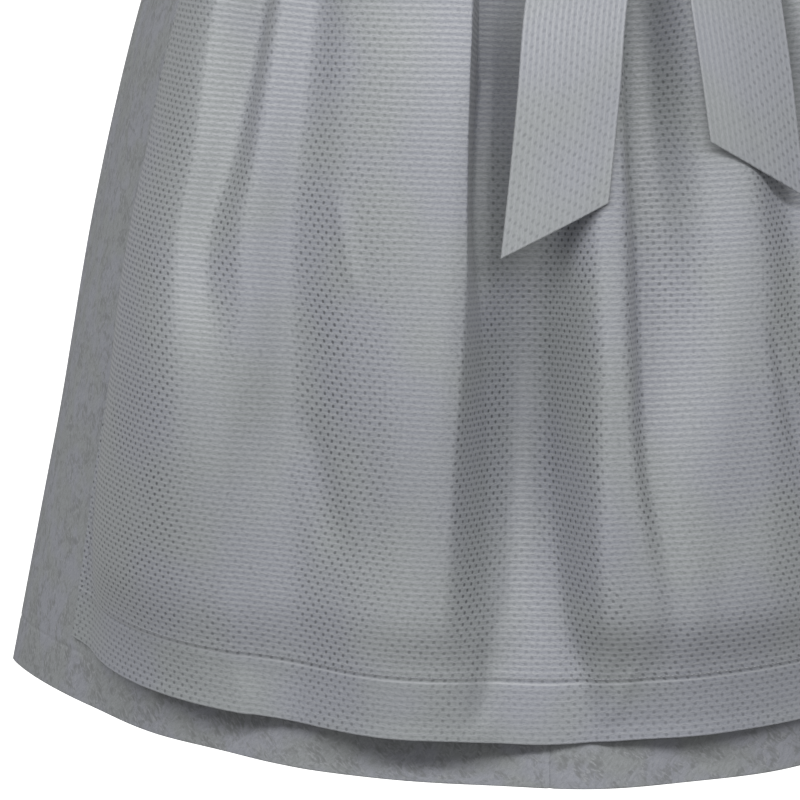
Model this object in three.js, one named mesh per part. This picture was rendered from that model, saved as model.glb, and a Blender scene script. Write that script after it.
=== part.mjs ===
// A dirndl worn in shape with nobody in it: a sleeveless bodice with straps, a gathered bell skirt,
// and an apron whose ties wind round the waist and end in a bow on the wearer's left.
// Millimetres, +Z up, front towards -Y. The origin is the centre of the waist seam.
//
// Everything lies on one form, an oval that changes with the height. A place on it is an angle from the
// centre front (degrees, positive towards +X), a height, and a lift, which is how far out it stands.
import * as THREE from 'three';

// ---------------------------------------------------------------- driving dimensions

const SKIRT_LENGTH = 700;
const APRON_LENGTH = 666;
const APRON_SIDE_RISE = 10;
const APRON_TOP = 12.3;
const SHOULDER_HEIGHT = 392;
const UNDERARM_HEIGHT = 203;
const FRONT_NECK_HEIGHT = 195;
const BACK_NECK_HEIGHT = 296;
const STRAP_WIDTH = 43;
const TIE_WIDTH = 70;
const SEAM = 0.3;
const WALL = { skirt: 1.6, apron: 1.4, bodice: 2, band: 2, tie: 1.6 };

// Level ovals of the bell skirt under its petticoat's spring. "taper" draws the front half in towards
// the sides: 1 is a true oval, 2 a parabola.
const SKIRT_SECTIONS = [
  { drop: 0, half: 130, front: 97, back: 90, taper: 1 },
  { drop: 12, half: 132, front: 99, back: 92, taper: 1 },
  { drop: 30, half: 152, front: 117, back: 112, taper: 1 },
  { drop: 60, half: 192, front: 150, back: 148, taper: 1 },
  { drop: 110, half: 241, front: 192, back: 194, taper: 1.04 },
  { drop: 200, half: 279, front: 226, back: 232, taper: 1.15 },
  { drop: 350, half: 314, front: 255, back: 262, taper: 1.38 },
  { drop: 520, half: 349, front: 283, back: 289, taper: 1.56 },
  { drop: 700, half: 384, front: 311, back: 315, taper: 1.64 },
];

// Level ovals of the bodice up to the underarm; above it the shoulders' arch takes over the depth.
const BODICE_SECTIONS = [
  { height: 0, half: 130, front: 97, back: 90 },
  { height: 45, half: 131, front: 99, back: 90 },
  { height: 95, half: 138, front: 104, back: 93 },
  { height: 150, half: 149, front: 111, back: 98 },
  { height: 203, half: 153, front: 110, back: 102 },
  { height: 392, half: 150, front: 110, back: 102 },
];

const CUP = { angle: 35, height: 146, reach: 25, above: 84, below: 58, depth: 21 };
const SHOULDER_SLOPE = 0.22;

// The princess seam of each half: degrees from the centre front or the centre back.
const FRONT_SEAM = [
  { height: 0, away: 24 },
  { height: 60, away: 27 },
  { height: 110, away: 32 },
  { height: 150, away: 35 },
  { height: 200, away: 43 },
  { height: 236, away: 55 },
];
const BACK_SEAM = [
  { height: 0, away: 30 },
  { height: 90, away: 34 },
  { height: 160, away: 41 },
  { height: 236, away: 55 },
];
const SEAM_TOP = 236;
const ARMHOLE = { top: 300, inner: 44, shoulder: 47 };
const NECK_HALF_WIDTH = 62;
const NECK_DEPTH = { front: 95, back: 70 };
const LAP = { edge: 5, start: 7, fold: 14, lift: 3, under: 4.5 };

const BUTTON = { radius: 6.5, height: 4.2, first: 42, step: 28.5, count: 6 };

// Folds: angle at its top and foot, half width, depth outwards, drop where it starts and ends, and
// the share of its length over which it rises and falls away. "steep" narrows its right flank.
const APRON_FOLDS = [
  { top: -59, foot: -31, width: 7.5, depth: 10, from: 60, until: 600, rise: 0.3, fall: 0.2, steep: 1 },
  { top: -38, foot: -34, width: 5, depth: 8, from: 20, until: 380, rise: 0.3, fall: 0.4, steep: 1 },
  { top: -19, foot: -17, width: 12, depth: 11, from: 15, until: 560, rise: 0.2, fall: 0.5, steep: 0.5 },
  { top: -2, foot: -3, width: 5, depth: 5, from: 120, until: 640, rise: 0.4, fall: 0.3, steep: 1 },
  { top: 5, foot: 9.5, width: 4.5, depth: 9, from: 210, until: 630, rise: 0.3, fall: 0.2, steep: 1 },
  { top: 16, foot: 14.5, width: 5.5, depth: 9, from: 40, until: 640, rise: 0.3, fall: 0.4, steep: 1 },
  { top: 24, foot: 22, width: 4.5, depth: 7, from: 20, until: 470, rise: 0.2, fall: 0.4, steep: 1 },
  { top: 35, foot: 36, width: 7, depth: 11, from: 20, until: 690, rise: 0.2, fall: 0.3, steep: 0.7 },
  { top: 50, foot: 48, width: 6, depth: 9, from: 20, until: 560, rise: 0.2, fall: 0.3, steep: 1 },
];
const SKIRT_FOLDS = [
  { top: -98, foot: -96, width: 6.5, depth: 8, from: 20, until: 600, rise: 0.2, fall: 0.5, steep: 1 },
  { top: -112, foot: -109, width: 7, depth: 13, from: 10, until: 900, rise: 0.2, fall: 0.3, steep: 1 },
  { top: -127, foot: -124, width: 7.5, depth: 12, from: 20, until: 900, rise: 0.15, fall: 0.3, steep: 0.7 },
  { top: -140, foot: -142, width: 6, depth: 10, from: 10, until: 640, rise: 0.2, fall: 0.5, steep: 1 },
  { top: -153, foot: -157, width: 7.5, depth: 14, from: 10, until: 900, rise: 0.2, fall: 0.3, steep: 1 },
  { top: -168, foot: -171, width: 6.5, depth: 12, from: 20, until: 900, rise: 0.2, fall: 0.3, steep: 1 },
  { top: 176, foot: 174, width: 6.5, depth: 10, from: 10, until: 700, rise: 0.2, fall: 0.5, steep: 1 },
  { top: 162, foot: 159, width: 7.5, depth: 14, from: 10, until: 900, rise: 0.15, fall: 0.3, steep: 0.7 },
  { top: 148, foot: 144, width: 6.5, depth: 11, from: 20, until: 900, rise: 0.2, fall: 0.3, steep: 1 },
  { top: 134, foot: 131, width: 6, depth: 9, from: 10, until: 620, rise: 0.2, fall: 0.5, steep: 1 },
  { top: 121, foot: 117, width: 7.5, depth: 13, from: 10, until: 900, rise: 0.2, fall: 0.3, steep: 1 },
  { top: 105, foot: 102, width: 6.5, depth: 10, from: 20, until: 900, rise: 0.2, fall: 0.3, steep: 1 },
  { top: -46, foot: -44, width: 12, depth: 4, from: 420, until: 900, rise: 0.4, fall: 0.2, steep: 1 },
  { top: -14, foot: -12, width: 11, depth: 4, from: 420, until: 900, rise: 0.4, fall: 0.2, steep: 1 },
  { top: 22, foot: 24, width: 12, depth: 4, from: 420, until: 900, rise: 0.4, fall: 0.2, steep: 1 },
  { top: 52, foot: 54, width: 12, depth: 4, from: 420, until: 900, rise: 0.4, fall: 0.2, steep: 1 },
];

// Where the apron's hem stands off the skirt: nearer at its sides, furthest left of the centre.
const APRON_STAND = { angle: -24, width: 46, near: 4, far: 13 };
const APRON_EDGE = { top: 67, foot: 62 };

// Waistband and ties in layers: the band on the waist, the ties wound over it.
const BAND = { low: -12, high: 26, edge: 70, lift: 2.8, overLap: 3, lapWidth: 26 };
const WRAP = { start: 0.4, centre: 8, half: 14, inner: 2.8, outer: 6.4, up: 28, down: -5 };
const KNOT = { angle: 27, height: 6, across: 19, tall: 24, deep: 12, lift: 20.8 };
const LOOP = { reach: 108, start: 19.1, belly: 14, slant: 33, near: 13, far: 34, lift: 18, depth: 12 };

// The tails, from the knot to the slanting cut: drop, angle of the middle, share of the tie's width, lift.
const LEFT_TAIL = [
  { drop: 19.2, middle: 23.5, width: 0.2, lift: 20 },
  { drop: 60, middle: 14.2, width: 0.66, lift: 13 },
  { drop: 120, middle: 7.4, width: 0.98, lift: 18 },
  { drop: 175, middle: 3.3, width: 1, lift: 20 },
  { drop: 245, middle: 1.6, width: 1, lift: 20 },
  { drop: 345, middle: 0, width: 1, lift: 19 },
];
const RIGHT_TAIL = [
  { drop: 21.6, middle: 31.3, width: 0.2, lift: 20 },
  { drop: 60, middle: 29.6, width: 0.66, lift: 13 },
  { drop: 120, middle: 27, width: 0.98, lift: 18 },
  { drop: 175, middle: 25.9, width: 1, lift: 20 },
  { drop: 240, middle: 25.8, width: 1, lift: 20 },
  { drop: 315, middle: 25.9, width: 1, lift: 19 },
];
const LEFT_CUT = { from: 342, to: 306 };
const RIGHT_CUT = { from: 268, to: 312 };

// ---------------------------------------------------------------- small helpers

const radians = THREE.MathUtils.degToRad;
const degrees = THREE.MathUtils.radToDeg;
const lerp = THREE.MathUtils.lerp;
const clamp = THREE.MathUtils.clamp;
const smooth = (x) => THREE.MathUtils.smoothstep(x, 0, 1);
const steps = (count) => Array.from({ length: count + 1 }, (_, i) => i / count);
const spread = (from, to, count) => steps(count).map((share) => lerp(from, to, share));

/** The smooth value of one column of a table at a place along its key column. */
function readTable(table, key, at, column) {
  const last = table.length - 1;
  let row = table.findIndex((entry) => entry[key] > at) - 1;
  row = row < -1 ? last - 1 : clamp(row, 0, last - 1);
  const slope = (i) => {
    const low = table[Math.max(i - 1, 0)];
    const high = table[Math.min(i + 1, last)];
    return (high[column] - low[column]) / (high[key] - low[key]);
  };
  const span = table[row + 1][key] - table[row][key];
  const t = (clamp(at, table[0][key], table[last][key]) - table[row][key]) / span;
  const t2 = t * t;
  const t3 = t2 * t;
  return (2 * t3 - 3 * t2 + 1) * table[row][column] + (t3 - 2 * t2 + t) * span * slope(row)
    + (3 * t2 - 2 * t3) * table[row + 1][column] + (t3 - t2) * span * slope(row + 1);
}

/** A bump of height 1 at 0 that reaches 0 at -1 and +1. */
const bump = (x) => (Math.abs(x) < 1 ? 0.5 + 0.5 * Math.cos(Math.PI * x) : 0);

/** An angle between -180 and 180 degrees. */
const wrapAngle = (angle) => angle - 360 * Math.round(angle / 360);

/** How far the folds of a table stand out at an angle and a drop. */
function relief(folds, angle, drop) {
  let lift = 0;
  for (const fold of folds) {
    const along = (drop - fold.from) / (fold.until - fold.from);
    const aside = wrapAngle(angle - lerp(fold.top, fold.foot, along));
    const across = aside / (aside > 0 ? fold.width * fold.steep : fold.width);
    const ends = smooth(along / fold.rise) * smooth((1 - along) / fold.fall);
    lift += fold.depth * ends * bump(across);
  }
  return lift;
}

// ---------------------------------------------------------------- the form

/** The shoulders' arch: the share of the chest's depth that is left at a height above the underarm. */
function arch(height, isFront) {
  const rise = clamp((height - UNDERARM_HEIGHT) / (SHOULDER_HEIGHT - UNDERARM_HEIGHT), 0, 1);
  return isFront ? (1 - rise ** 1.5) ** (1 / 1.7) : (1 - rise ** 2.4) ** (1 / 1.9);
}

/** The point of the bare form at an angle and a height. */
function formPoint(angle, height) {
  const turn = radians(angle);
  const isFront = Math.cos(turn) >= 0;
  const side = isFront ? 'front' : 'back';
  const [table, key, at] = height < 0 ? [SKIRT_SECTIONS, 'drop', -height] : [BODICE_SECTIONS, 'height', height];
  const half = readTable(table, key, at, 'half');
  const depth = readTable(table, key, at, side) * arch(height, isFront);
  const taper = isFront && height < 0 ? readTable(table, key, at, 'taper') : 1;
  const x = half * Math.sin(turn);
  const y = -depth * Math.sign(Math.cos(turn)) * Math.abs(Math.cos(turn)) ** taper;
  const shoulder = smooth((height - UNDERARM_HEIGHT) / (SHOULDER_HEIGHT - UNDERARM_HEIGHT));
  const fall = SHOULDER_SLOPE * Math.max(Math.abs(x) - NECK_HALF_WIDTH, 0) * shoulder;
  return new THREE.Vector3(x, y, height - fall);
}

/** The direction straight out of the form; it stays level at the waist seam. */
function formNormal(angle, height) {
  const step = height < 0 ? -1 : 1;
  const inside = Math.min(height, SHOULDER_HEIGHT - 1.5);
  const turned = formPoint(angle + 0.5, inside).sub(formPoint(angle - 0.5, inside));
  const raised = formPoint(angle, inside + 1.5 * step).sub(formPoint(angle, inside)).multiplyScalar(step);
  const normal = turned.cross(raised).normalize();
  normal.z *= smooth(Math.abs(height) / 20);
  return normal.normalize();
}

/** A point that stands out from the form by a lift. */
function place(angle, height, lift) {
  return formPoint(angle, height).addScaledVector(formNormal(angle, height), lift);
}

/** Half a seam's gap, as an angle at a height. */
function seamAngle(height) {
  const half = height < 0 ? readTable(SKIRT_SECTIONS, 'drop', -height, 'back') : 90;
  return degrees(SEAM / 2 / half);
}

// ---------------------------------------------------------------- closed walls

/** A closed wall from a grid of places: at(row, column, side) gives the inner (0) or outer (1) point. */
function wall(rowCount, columnCount, at) {
  const points = [];
  for (const side of [0, 1]) {
    for (let row = 0; row <= rowCount; row += 1) {
      for (let column = 0; column <= columnCount; column += 1) points.push(at(row, column, side));
    }
  }
  const index = (row, column, side) => (side * (rowCount + 1) + row) * (columnCount + 1) + column;
  const faces = [];
  const quad = (a, b, c, d) => faces.push(a, b, c, a, c, d);
  for (let row = 0; row < rowCount; row += 1) {
    for (let column = 0; column < columnCount; column += 1) {
      const corners = (side) => [
        index(row, column, side), index(row, column + 1, side),
        index(row + 1, column + 1, side), index(row + 1, column, side),
      ];
      quad(...corners(1));
      quad(...corners(0).reverse());
    }
    quad(index(row, 0, 0), index(row, 0, 1), index(row + 1, 0, 1), index(row + 1, 0, 0));
    quad(index(row, columnCount, 1), index(row, columnCount, 0),
      index(row + 1, columnCount, 0), index(row + 1, columnCount, 1));
  }
  for (let column = 0; column < columnCount; column += 1) {
    quad(index(0, column, 1), index(0, column, 0), index(0, column + 1, 0), index(0, column + 1, 1));
    quad(index(rowCount, column, 0), index(rowCount, column, 1),
      index(rowCount, column + 1, 1), index(rowCount, column + 1, 0));
  }
  return facingOut(points, faces);
}

/** A geometry whose faces point out of the solid, whichever way its grid was run through. */
function facingOut(points, faces) {
  let volume = 0;
  for (let i = 0; i < faces.length; i += 3) {
    const [a, b, c] = [points[faces[i]], points[faces[i + 1]], points[faces[i + 2]]];
    volume += a.dot(b.clone().cross(c));
  }
  const geometry = new THREE.BufferGeometry();
  geometry.setAttribute('position', new THREE.Float32BufferAttribute(points.flatMap((p) => p.toArray()), 3));
  geometry.setIndex(volume > 0 ? faces : faces.reverse());
  geometry.computeVertexNormals();
  return geometry;
}

// ---------------------------------------------------------------- materials

const GREY_JACQUARD = { color: 0x898b8e, roughness: 0.85, metalness: 0 };
const GREY_DOBBY = { color: 0x94969a, roughness: 0.6, metalness: 0 };
const PEWTER = { color: 0x8d8f92, roughness: 0.4, metalness: 0.9 };

const dirndl = new THREE.Group();
dirndl.name = 'dirndl';

/** Adds one named piece with a material of its own. */
function addPiece(name, geometry, look) {
  const mesh = new THREE.Mesh(geometry, new THREE.MeshStandardMaterial({ ...look, name }));
  mesh.name = name;
  dirndl.add(mesh);
  return mesh;
}

// ---------------------------------------------------------------- skirt

const SKIRT_ROWS = [SEAM / 2, 12, 30, 60, 110, 200, 310, 430, 560, SKIRT_LENGTH];
const FRONT_COLUMNS = 14;
const BACK_COLUMNS = 20;

/** The outer face of the skirt, as a lift. */
const skirtOuter = (angle, drop) => WALL.skirt + relief(SKIRT_FOLDS, angle, drop);

/** One quarter of the skirt, from its centre seam to its side seam. */
function skirtPanel(side, isFront) {
  const columns = isFront ? FRONT_COLUMNS : BACK_COLUMNS;
  return wall(SKIRT_ROWS.length - 1, columns, (row, column, outer) => {
    const drop = SKIRT_ROWS[row];
    const away = lerp(seamAngle(-drop), 90 - seamAngle(-drop), column / columns);
    const angle = side * (isFront ? away : 180 - away);
    return place(angle, -drop, skirtOuter(angle, drop) - WALL.skirt * (1 - outer));
  });
}

for (const [name, side] of [['left', -1], ['right', 1]]) {
  addPiece(`skirt_front_${name}`, skirtPanel(side, true), GREY_JACQUARD);
  addPiece(`skirt_back_${name}`, skirtPanel(side, false), GREY_JACQUARD);
}

// ---------------------------------------------------------------- apron

const APRON_ROWS = [APRON_TOP, 30, 60, 110, 155, 200, 255, 310, 370, 430, 500, 560, 620, APRON_LENGTH];
const APRON_COLUMNS = 36;

/** How far the apron hangs clear of the skirt: a little at the waist, most at its hem. */
function apronGap(angle, drop) {
  const hem = lerp(APRON_STAND.near, APRON_STAND.far, bump((angle - APRON_STAND.angle) / APRON_STAND.width));
  return lerp(1.4, hem, smooth(drop / APRON_LENGTH));
}

/** The outer face of the apron, as a lift. */
function apronOuter(angle, drop) {
  return skirtOuter(angle, drop) + apronGap(angle, drop) + relief(APRON_FOLDS, angle, drop) + WALL.apron;
}

const apron = wall(APRON_ROWS.length - 1, APRON_COLUMNS, (row, column, outer) => {
  const across = (2 * column) / APRON_COLUMNS - 1;
  const share = APRON_ROWS[row] / APRON_LENGTH;
  const angle = across * lerp(APRON_EDGE.top, APRON_EDGE.foot, share);
  const drop = APRON_ROWS[row] - APRON_SIDE_RISE * share ** 6 * across ** 4;
  return place(angle, -drop, apronOuter(angle, drop) - WALL.apron * (1 - outer));
});
addPiece('apron_panel', apron, GREY_DOBBY);

/** How far the band and what lies on it are pushed out by the bodice's lapped front edge. */
const overLap = (angle) => BAND.overLap * bump(angle / BAND.lapWidth);

const BAND_COLUMNS = 26;
const band = wall(1, BAND_COLUMNS, (row, column, outer) => {
  const angle = lerp(-BAND.edge, BAND.edge, column / BAND_COLUMNS);
  const lift = BAND.lift + overLap(angle) + WALL.band * outer;
  return place(angle, row ? BAND.high : BAND.low, lift);
});
addPiece('apron_waistband', band, GREY_DOBBY);

// ---------------------------------------------------------------- ties round the waist

/**
 * A tie wound from its end of the waistband round the back to the knot. "side" is the side it starts on,
 * "shift" how far it passes above (or below) the other tie where the two cross behind.
 */
function tieWrap(side, shift) {
  const startTurn = BAND.edge + WRAP.start;
  const endTurn = 360 + side * KNOT.angle - 1.2;
  const angles = spread(startTurn, endTurn, 40);
  return wall(1, angles.length - 1, (row, column, outer) => {
    const turn = angles[column];
    const crossing = bump((turn - 180) / 46);
    const layer = smooth((turn - 172) / 16);
    const height = WRAP.centre + shift * crossing + WRAP.half * (2 * row - 1);
    const angle = wrapAngle(side * turn);
    const lift = lerp(WRAP.inner, WRAP.outer, layer) + overLap(angle) + WALL.tie * outer;
    return place(angle, height, lift);
  });
}

addPiece('tie_wrap_left', tieWrap(-1, WRAP.up), GREY_DOBBY);
addPiece('tie_wrap_right', tieWrap(1, WRAP.down), GREY_DOBBY);

// ---------------------------------------------------------------- bow

/** Degrees for millimetres along the skirt's front, at an angle, a height and a lift. */
function alongForm(millimetres, angle, height, lift) {
  const drop = Math.max(-height, 0);
  const across = (readTable(SKIRT_SECTIONS, 'drop', drop, 'half') + lift) * Math.cos(radians(angle));
  const inward = (readTable(SKIRT_SECTIONS, 'drop', drop, 'front') + lift) * Math.sin(radians(angle));
  return degrees(millimetres / Math.hypot(across, inward));
}

/** The wrapped knot: a soft block that is round at its ends and flat behind. */
function knot() {
  const ball = new THREE.SphereGeometry(1, 10, 8);
  const position = ball.getAttribute('position');
  const points = [];
  const squared = (value) => Math.sign(value) * Math.abs(value) ** 0.7;
  for (let i = 0; i < position.count; i += 1) {
    const across = squared(position.getX(i)) * KNOT.across;
    const tall = squared(position.getY(i)) * KNOT.tall;
    const deep = squared(position.getZ(i)) * KNOT.deep;
    const angle = KNOT.angle + alongForm(across, KNOT.angle, 0, KNOT.lift);
    points.push(place(angle, KNOT.height + tall, KNOT.lift + deep));
  }
  return facingOut(points, [...ball.getIndex().array]);
}
addPiece('bow_knot', knot(), GREY_DOBBY);

/** One bow loop: a band that runs slanting down from the knot, turns and comes back over itself. */
function bowLoop(side) {
  const count = 16;
  const slant = radians(LOOP.slant);
  return wall(2, count, (row, column, outer) => {
    const turn = (2 * Math.PI * column) / count;
    const share = (1 - Math.cos(turn)) / 2;
    const shorter = WALL.tie * (1 - outer) * Math.sin(turn / 2);
    const out = LOOP.start + LOOP.reach * share - shorter;
    const across = lerp(LOOP.near, LOOP.far, smooth(share * 1.7)) * (row - 1);
    const along = LOOP.start + (out - LOOP.start) * Math.cos(slant) + across * Math.sin(slant) * share;
    const height = KNOT.height - (out - LOOP.start) * Math.sin(slant) + across * Math.cos(slant * share);
    const belly = LOOP.belly * (0.8 * share - Math.sin(turn) * Math.sqrt(share));
    const lift = LOOP.lift + (LOOP.depth * column) / count + belly;
    const inward = WALL.tie * (1 - outer) * Math.cos(turn / 2);
    const angle = KNOT.angle + side * alongForm(along, KNOT.angle, height, LOOP.lift);
    return place(angle, height, lift + inward);
  });
}
addPiece('bow_loop_left', bowLoop(-1), GREY_DOBBY);
addPiece('bow_loop_right', bowLoop(1), GREY_DOBBY);

/** One hanging tail, cut slanting at its end. */
function tail(stations, cut) {
  const rows = 9;
  const columns = 2;
  const first = stations[0].drop;
  return wall(rows, columns, (row, column, outer) => {
    const across = column / columns;
    const drop = lerp(first, lerp(cut.from, cut.to, across), row / rows);
    const read = (name) => readTable(stations, 'drop', drop, name);
    const aside = TIE_WIDTH * read('width') * (across - 0.5);
    const angle = read('middle') + alongForm(aside, read('middle'), -drop, read('lift'));
    return place(angle, -drop, read('lift') + WALL.tie * outer);
  });
}
addPiece('tie_tail_left', tail(LEFT_TAIL, LEFT_CUT), GREY_DOBBY);
addPiece('tie_tail_right', tail(RIGHT_TAIL, RIGHT_CUT), GREY_DOBBY);

// ---------------------------------------------------------------- bodice

const SEAM_ROWS = [SEAM / 2, 40, 80, 108, 130, 152, 174, FRONT_NECK_HEIGHT, 212, SEAM_TOP];
const FRONT_ROWS = [...SEAM_ROWS, 262, 290, 318, 345, 366, 381, 389, SHOULDER_HEIGHT - 0.01];
const BACK_ROWS = [...SEAM_ROWS, 268, BACK_NECK_HEIGHT, 306, 326, 346, 366, 381, 389, SHOULDER_HEIGHT - 0.01];

/** How far the cups stand out: full at the bust, soft above and tucked in below. */
function cups(angle, height) {
  const reach = height > CUP.height ? CUP.above : CUP.below;
  const away = Math.hypot((Math.abs(angle) - CUP.angle) / CUP.reach, (height - CUP.height) / reach);
  return away < 1 ? CUP.depth * (1 - away * away) ** 2 : 0;
}

/** The armhole's edge, in degrees from the centre front or back. */
function armhole(height) {
  if (height >= ARMHOLE.top) {
    const rise = (height - ARMHOLE.top) / (SHOULDER_HEIGHT - ARMHOLE.top);
    return lerp(ARMHOLE.inner, ARMHOLE.shoulder, rise);
  }
  const lean = (ARMHOLE.top - height) / (ARMHOLE.top - UNDERARM_HEIGHT);
  return 90 - (90 - ARMHOLE.inner) * Math.sqrt(Math.max(1 - lean * lean, 0));
}

/** The neckline's edge, a wide scoop, in degrees from the centre front or back. */
function neckline(height, bottom, depth) {
  const inner = degrees(Math.asin(NECK_HALF_WIDTH / 151));
  if (height <= bottom) return 0;
  if (height >= bottom + depth) {
    const strap = degrees(Math.asin(STRAP_WIDTH / 151));
    const rise = (height - bottom - depth) / (SHOULDER_HEIGHT - bottom - depth);
    return lerp(inner, ARMHOLE.shoulder - strap + 3, rise);
  }
  const lean = 1 - (height - bottom) / depth;
  return inner * (1 - lean ** 2.6) ** (1 / 2.2);
}

/** The centre piece of one half with its strap. "lap" moves its centre edge over the other front. */
function centrePiece(side, isFront, lap) {
  const rows = isFront ? FRONT_ROWS : BACK_ROWS;
  const seam = isFront ? FRONT_SEAM : BACK_SEAM;
  const bottom = isFront ? FRONT_NECK_HEIGHT : BACK_NECK_HEIGHT;
  const depth = isFront ? NECK_DEPTH.front : NECK_DEPTH.back;
  const shares = spread(0, 1, isFront ? 4 : 3);
  return wall(rows.length - 1, shares.length + 1, (row, column, outer) => {
    const height = rows[row];
    const gap = seamAngle(height);
    const far = height <= SEAM_TOP ? readTable(seam, 'height', height, 'away') - gap : armhole(height);
    const edge = height < bottom ? lap.edge : lap.topEdge;
    const near = height <= bottom ? -edge : Math.max(neckline(height, bottom, depth), 0);
    const turnIn = Math.max(near, height <= bottom ? lap.start : near + 1);
    const ramp = Math.max(turnIn + 1, lap.fold);
    const away = column === 0 ? near : column === 1 ? turnIn : lerp(Math.min(ramp, far - 1), far, shares[column - 2]);
    const lapStart = Math.max(near, lap.start);
    const lapLift = lap.lift * (1 - smooth((away - lapStart) / (lap.fold - lap.start)))
      * (1 - smooth((height - bottom - 20) / 30));
    const angle = side * (isFront ? away : 180 - away);
    const lift = WALL.bodice * outer + lapLift + (isFront ? cups(angle, height) : 0);
    const point = place(angle, height, lift);
    if (height > SHOULDER_HEIGHT - 1) point.y += isFront ? -SEAM / 2 : SEAM / 2;
    return point;
  });
}

/** The side piece of one half, from the princess seam to the side seam. */
function sidePiece(side, isFront) {
  const seam = isFront ? FRONT_SEAM : BACK_SEAM;
  const columns = 5;
  return wall(SEAM_ROWS.length - 1, columns, (row, column, outer) => {
    const across = column / columns;
    const topAway = lerp(readTable(seam, 'height', SEAM_TOP, 'away'), 90, across);
    const lean = (90 - topAway) / (90 - ARMHOLE.inner);
    const topHeight = ARMHOLE.top - (ARMHOLE.top - UNDERARM_HEIGHT) * Math.sqrt(1 - Math.min(lean, 1) ** 2);
    const squeeze = lerp(1, topHeight / SEAM_TOP, smooth(SEAM_ROWS[row] / SEAM_TOP));
    const height = SEAM_ROWS[row] * (column === 0 ? 1 : squeeze);
    const near = readTable(seam, 'height', SEAM_ROWS[row], 'away');
    const gap = seamAngle(height);
    const away = lerp(near + gap, 90 - gap, across);
    const angle = side * (isFront ? away : 180 - away);
    return place(angle, height, WALL.bodice * outer + (isFront ? cups(angle, height) : 0));
  });
}

const NO_LAP = { edge: -seamAngle(0), topEdge: -seamAngle(0), start: 3, fold: 8, lift: 0 };
const OVER_LAP = { ...LAP, topEdge: LAP.edge };
const UNDER_LAP = { ...LAP, edge: LAP.under, topEdge: -SEAM, lift: 0 };

addPiece('bodice_front_left', centrePiece(-1, true, OVER_LAP), GREY_JACQUARD);
addPiece('bodice_front_right', centrePiece(1, true, UNDER_LAP), GREY_JACQUARD);
addPiece('bodice_back_left', centrePiece(-1, false, NO_LAP), GREY_JACQUARD);
addPiece('bodice_back_right', centrePiece(1, false, NO_LAP), GREY_JACQUARD);
for (const [name, side] of [['left', -1], ['right', 1]]) {
  addPiece(`bodice_side_front_${name}`, sidePiece(side, true), GREY_JACQUARD);
  addPiece(`bodice_side_back_${name}`, sidePiece(side, false), GREY_JACQUARD);
}

// ---------------------------------------------------------------- buttons

const buttonProfile = [[0, 0], [0.82, 0], [1, 0.25], [0.86, 0.7], [0.45, 0.95], [0, 1]]
  .map(([radius, height]) => new THREE.Vector2(radius * BUTTON.radius, height * BUTTON.height));

for (let i = 0; i < BUTTON.count; i += 1) {
  const height = BUTTON.first + BUTTON.step * i;
  const seat = place(0, height, WALL.bodice + LAP.lift + SEAM);
  const button = addPiece(`button_${i + 1}`, new THREE.LatheGeometry(buttonProfile, 10), PEWTER);
  button.position.copy(seat);
  button.quaternion.setFromUnitVectors(new THREE.Vector3(0, 1, 0), formNormal(0, height));
}

export default dirndl;
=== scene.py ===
"""A dirndl worn in shape with nobody in it: bodice, gathered skirt, apron, and ties that end in a bow.

Every piece of cloth lies on one form, an oval that changes with the height. A place on it is an angle
from the centre front (degrees, positive towards +X), a height (millimetres above the waist seam; below it
the drop is counted down), and a lift, which is how far out from the form it stands.
"""
import logging
import math
from dataclasses import dataclass
from enum import Enum
from typing import Any

import bpy
import numpy as np
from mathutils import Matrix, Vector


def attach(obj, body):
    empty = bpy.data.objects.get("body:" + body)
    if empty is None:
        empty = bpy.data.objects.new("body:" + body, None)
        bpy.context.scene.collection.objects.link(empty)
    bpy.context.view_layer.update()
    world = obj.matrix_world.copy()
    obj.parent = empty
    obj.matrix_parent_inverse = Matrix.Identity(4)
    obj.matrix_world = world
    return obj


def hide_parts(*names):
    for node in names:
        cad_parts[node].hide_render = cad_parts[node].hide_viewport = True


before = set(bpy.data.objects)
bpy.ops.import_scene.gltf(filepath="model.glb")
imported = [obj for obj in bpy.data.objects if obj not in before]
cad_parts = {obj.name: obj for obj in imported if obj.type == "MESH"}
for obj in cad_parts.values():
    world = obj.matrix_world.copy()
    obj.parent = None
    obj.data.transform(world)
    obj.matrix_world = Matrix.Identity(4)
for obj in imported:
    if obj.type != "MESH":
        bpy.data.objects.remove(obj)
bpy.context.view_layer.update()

LOG = logging.getLogger("dirndl")
BODY = "root"
MM = 0.001
WEAVE_MAP = "weave"
Array = np.ndarray
Material, Object = bpy.types.Material, bpy.types.Object
NodeTree, Socket = bpy.types.NodeTree, bpy.types.NodeSocket


# ---------------------------------------------------------------- shapes read from short tables


def smooth(value: Array) -> Array:
    """A soft step from 0 at 0 to 1 at 1."""
    t = np.clip(value, 0.0, 1.0)
    return t * t * (3.0 - 2.0 * t)


def bump(value: Array) -> Array:
    """A rounded bump of height 1 at 0 that reaches 0 at -1 and +1."""
    return np.where(np.abs(value) < 1.0, 0.5 + 0.5 * np.cos(np.pi * np.clip(value, -1.0, 1.0)), 0.0)


def lerp(start: Any, end: Any, share: Any) -> Any:
    """The value a share of the way from start to end."""
    return start + (end - start) * share


def curve(t: Array, span: Array, ends: tuple[Array, Array], slopes: tuple[Array, Array]) -> Array:
    """The value a share t of the way along a span, on the smooth curve that its ends and slopes fix."""
    t2, t3 = t * t, t * t * t
    return ((2 * t3 - 3 * t2 + 1) * ends[0] + (t3 - 2 * t2 + t) * span * slopes[0]
            + (3 * t2 - 2 * t3) * ends[1] + (t3 - t2) * span * slopes[1])


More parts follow.
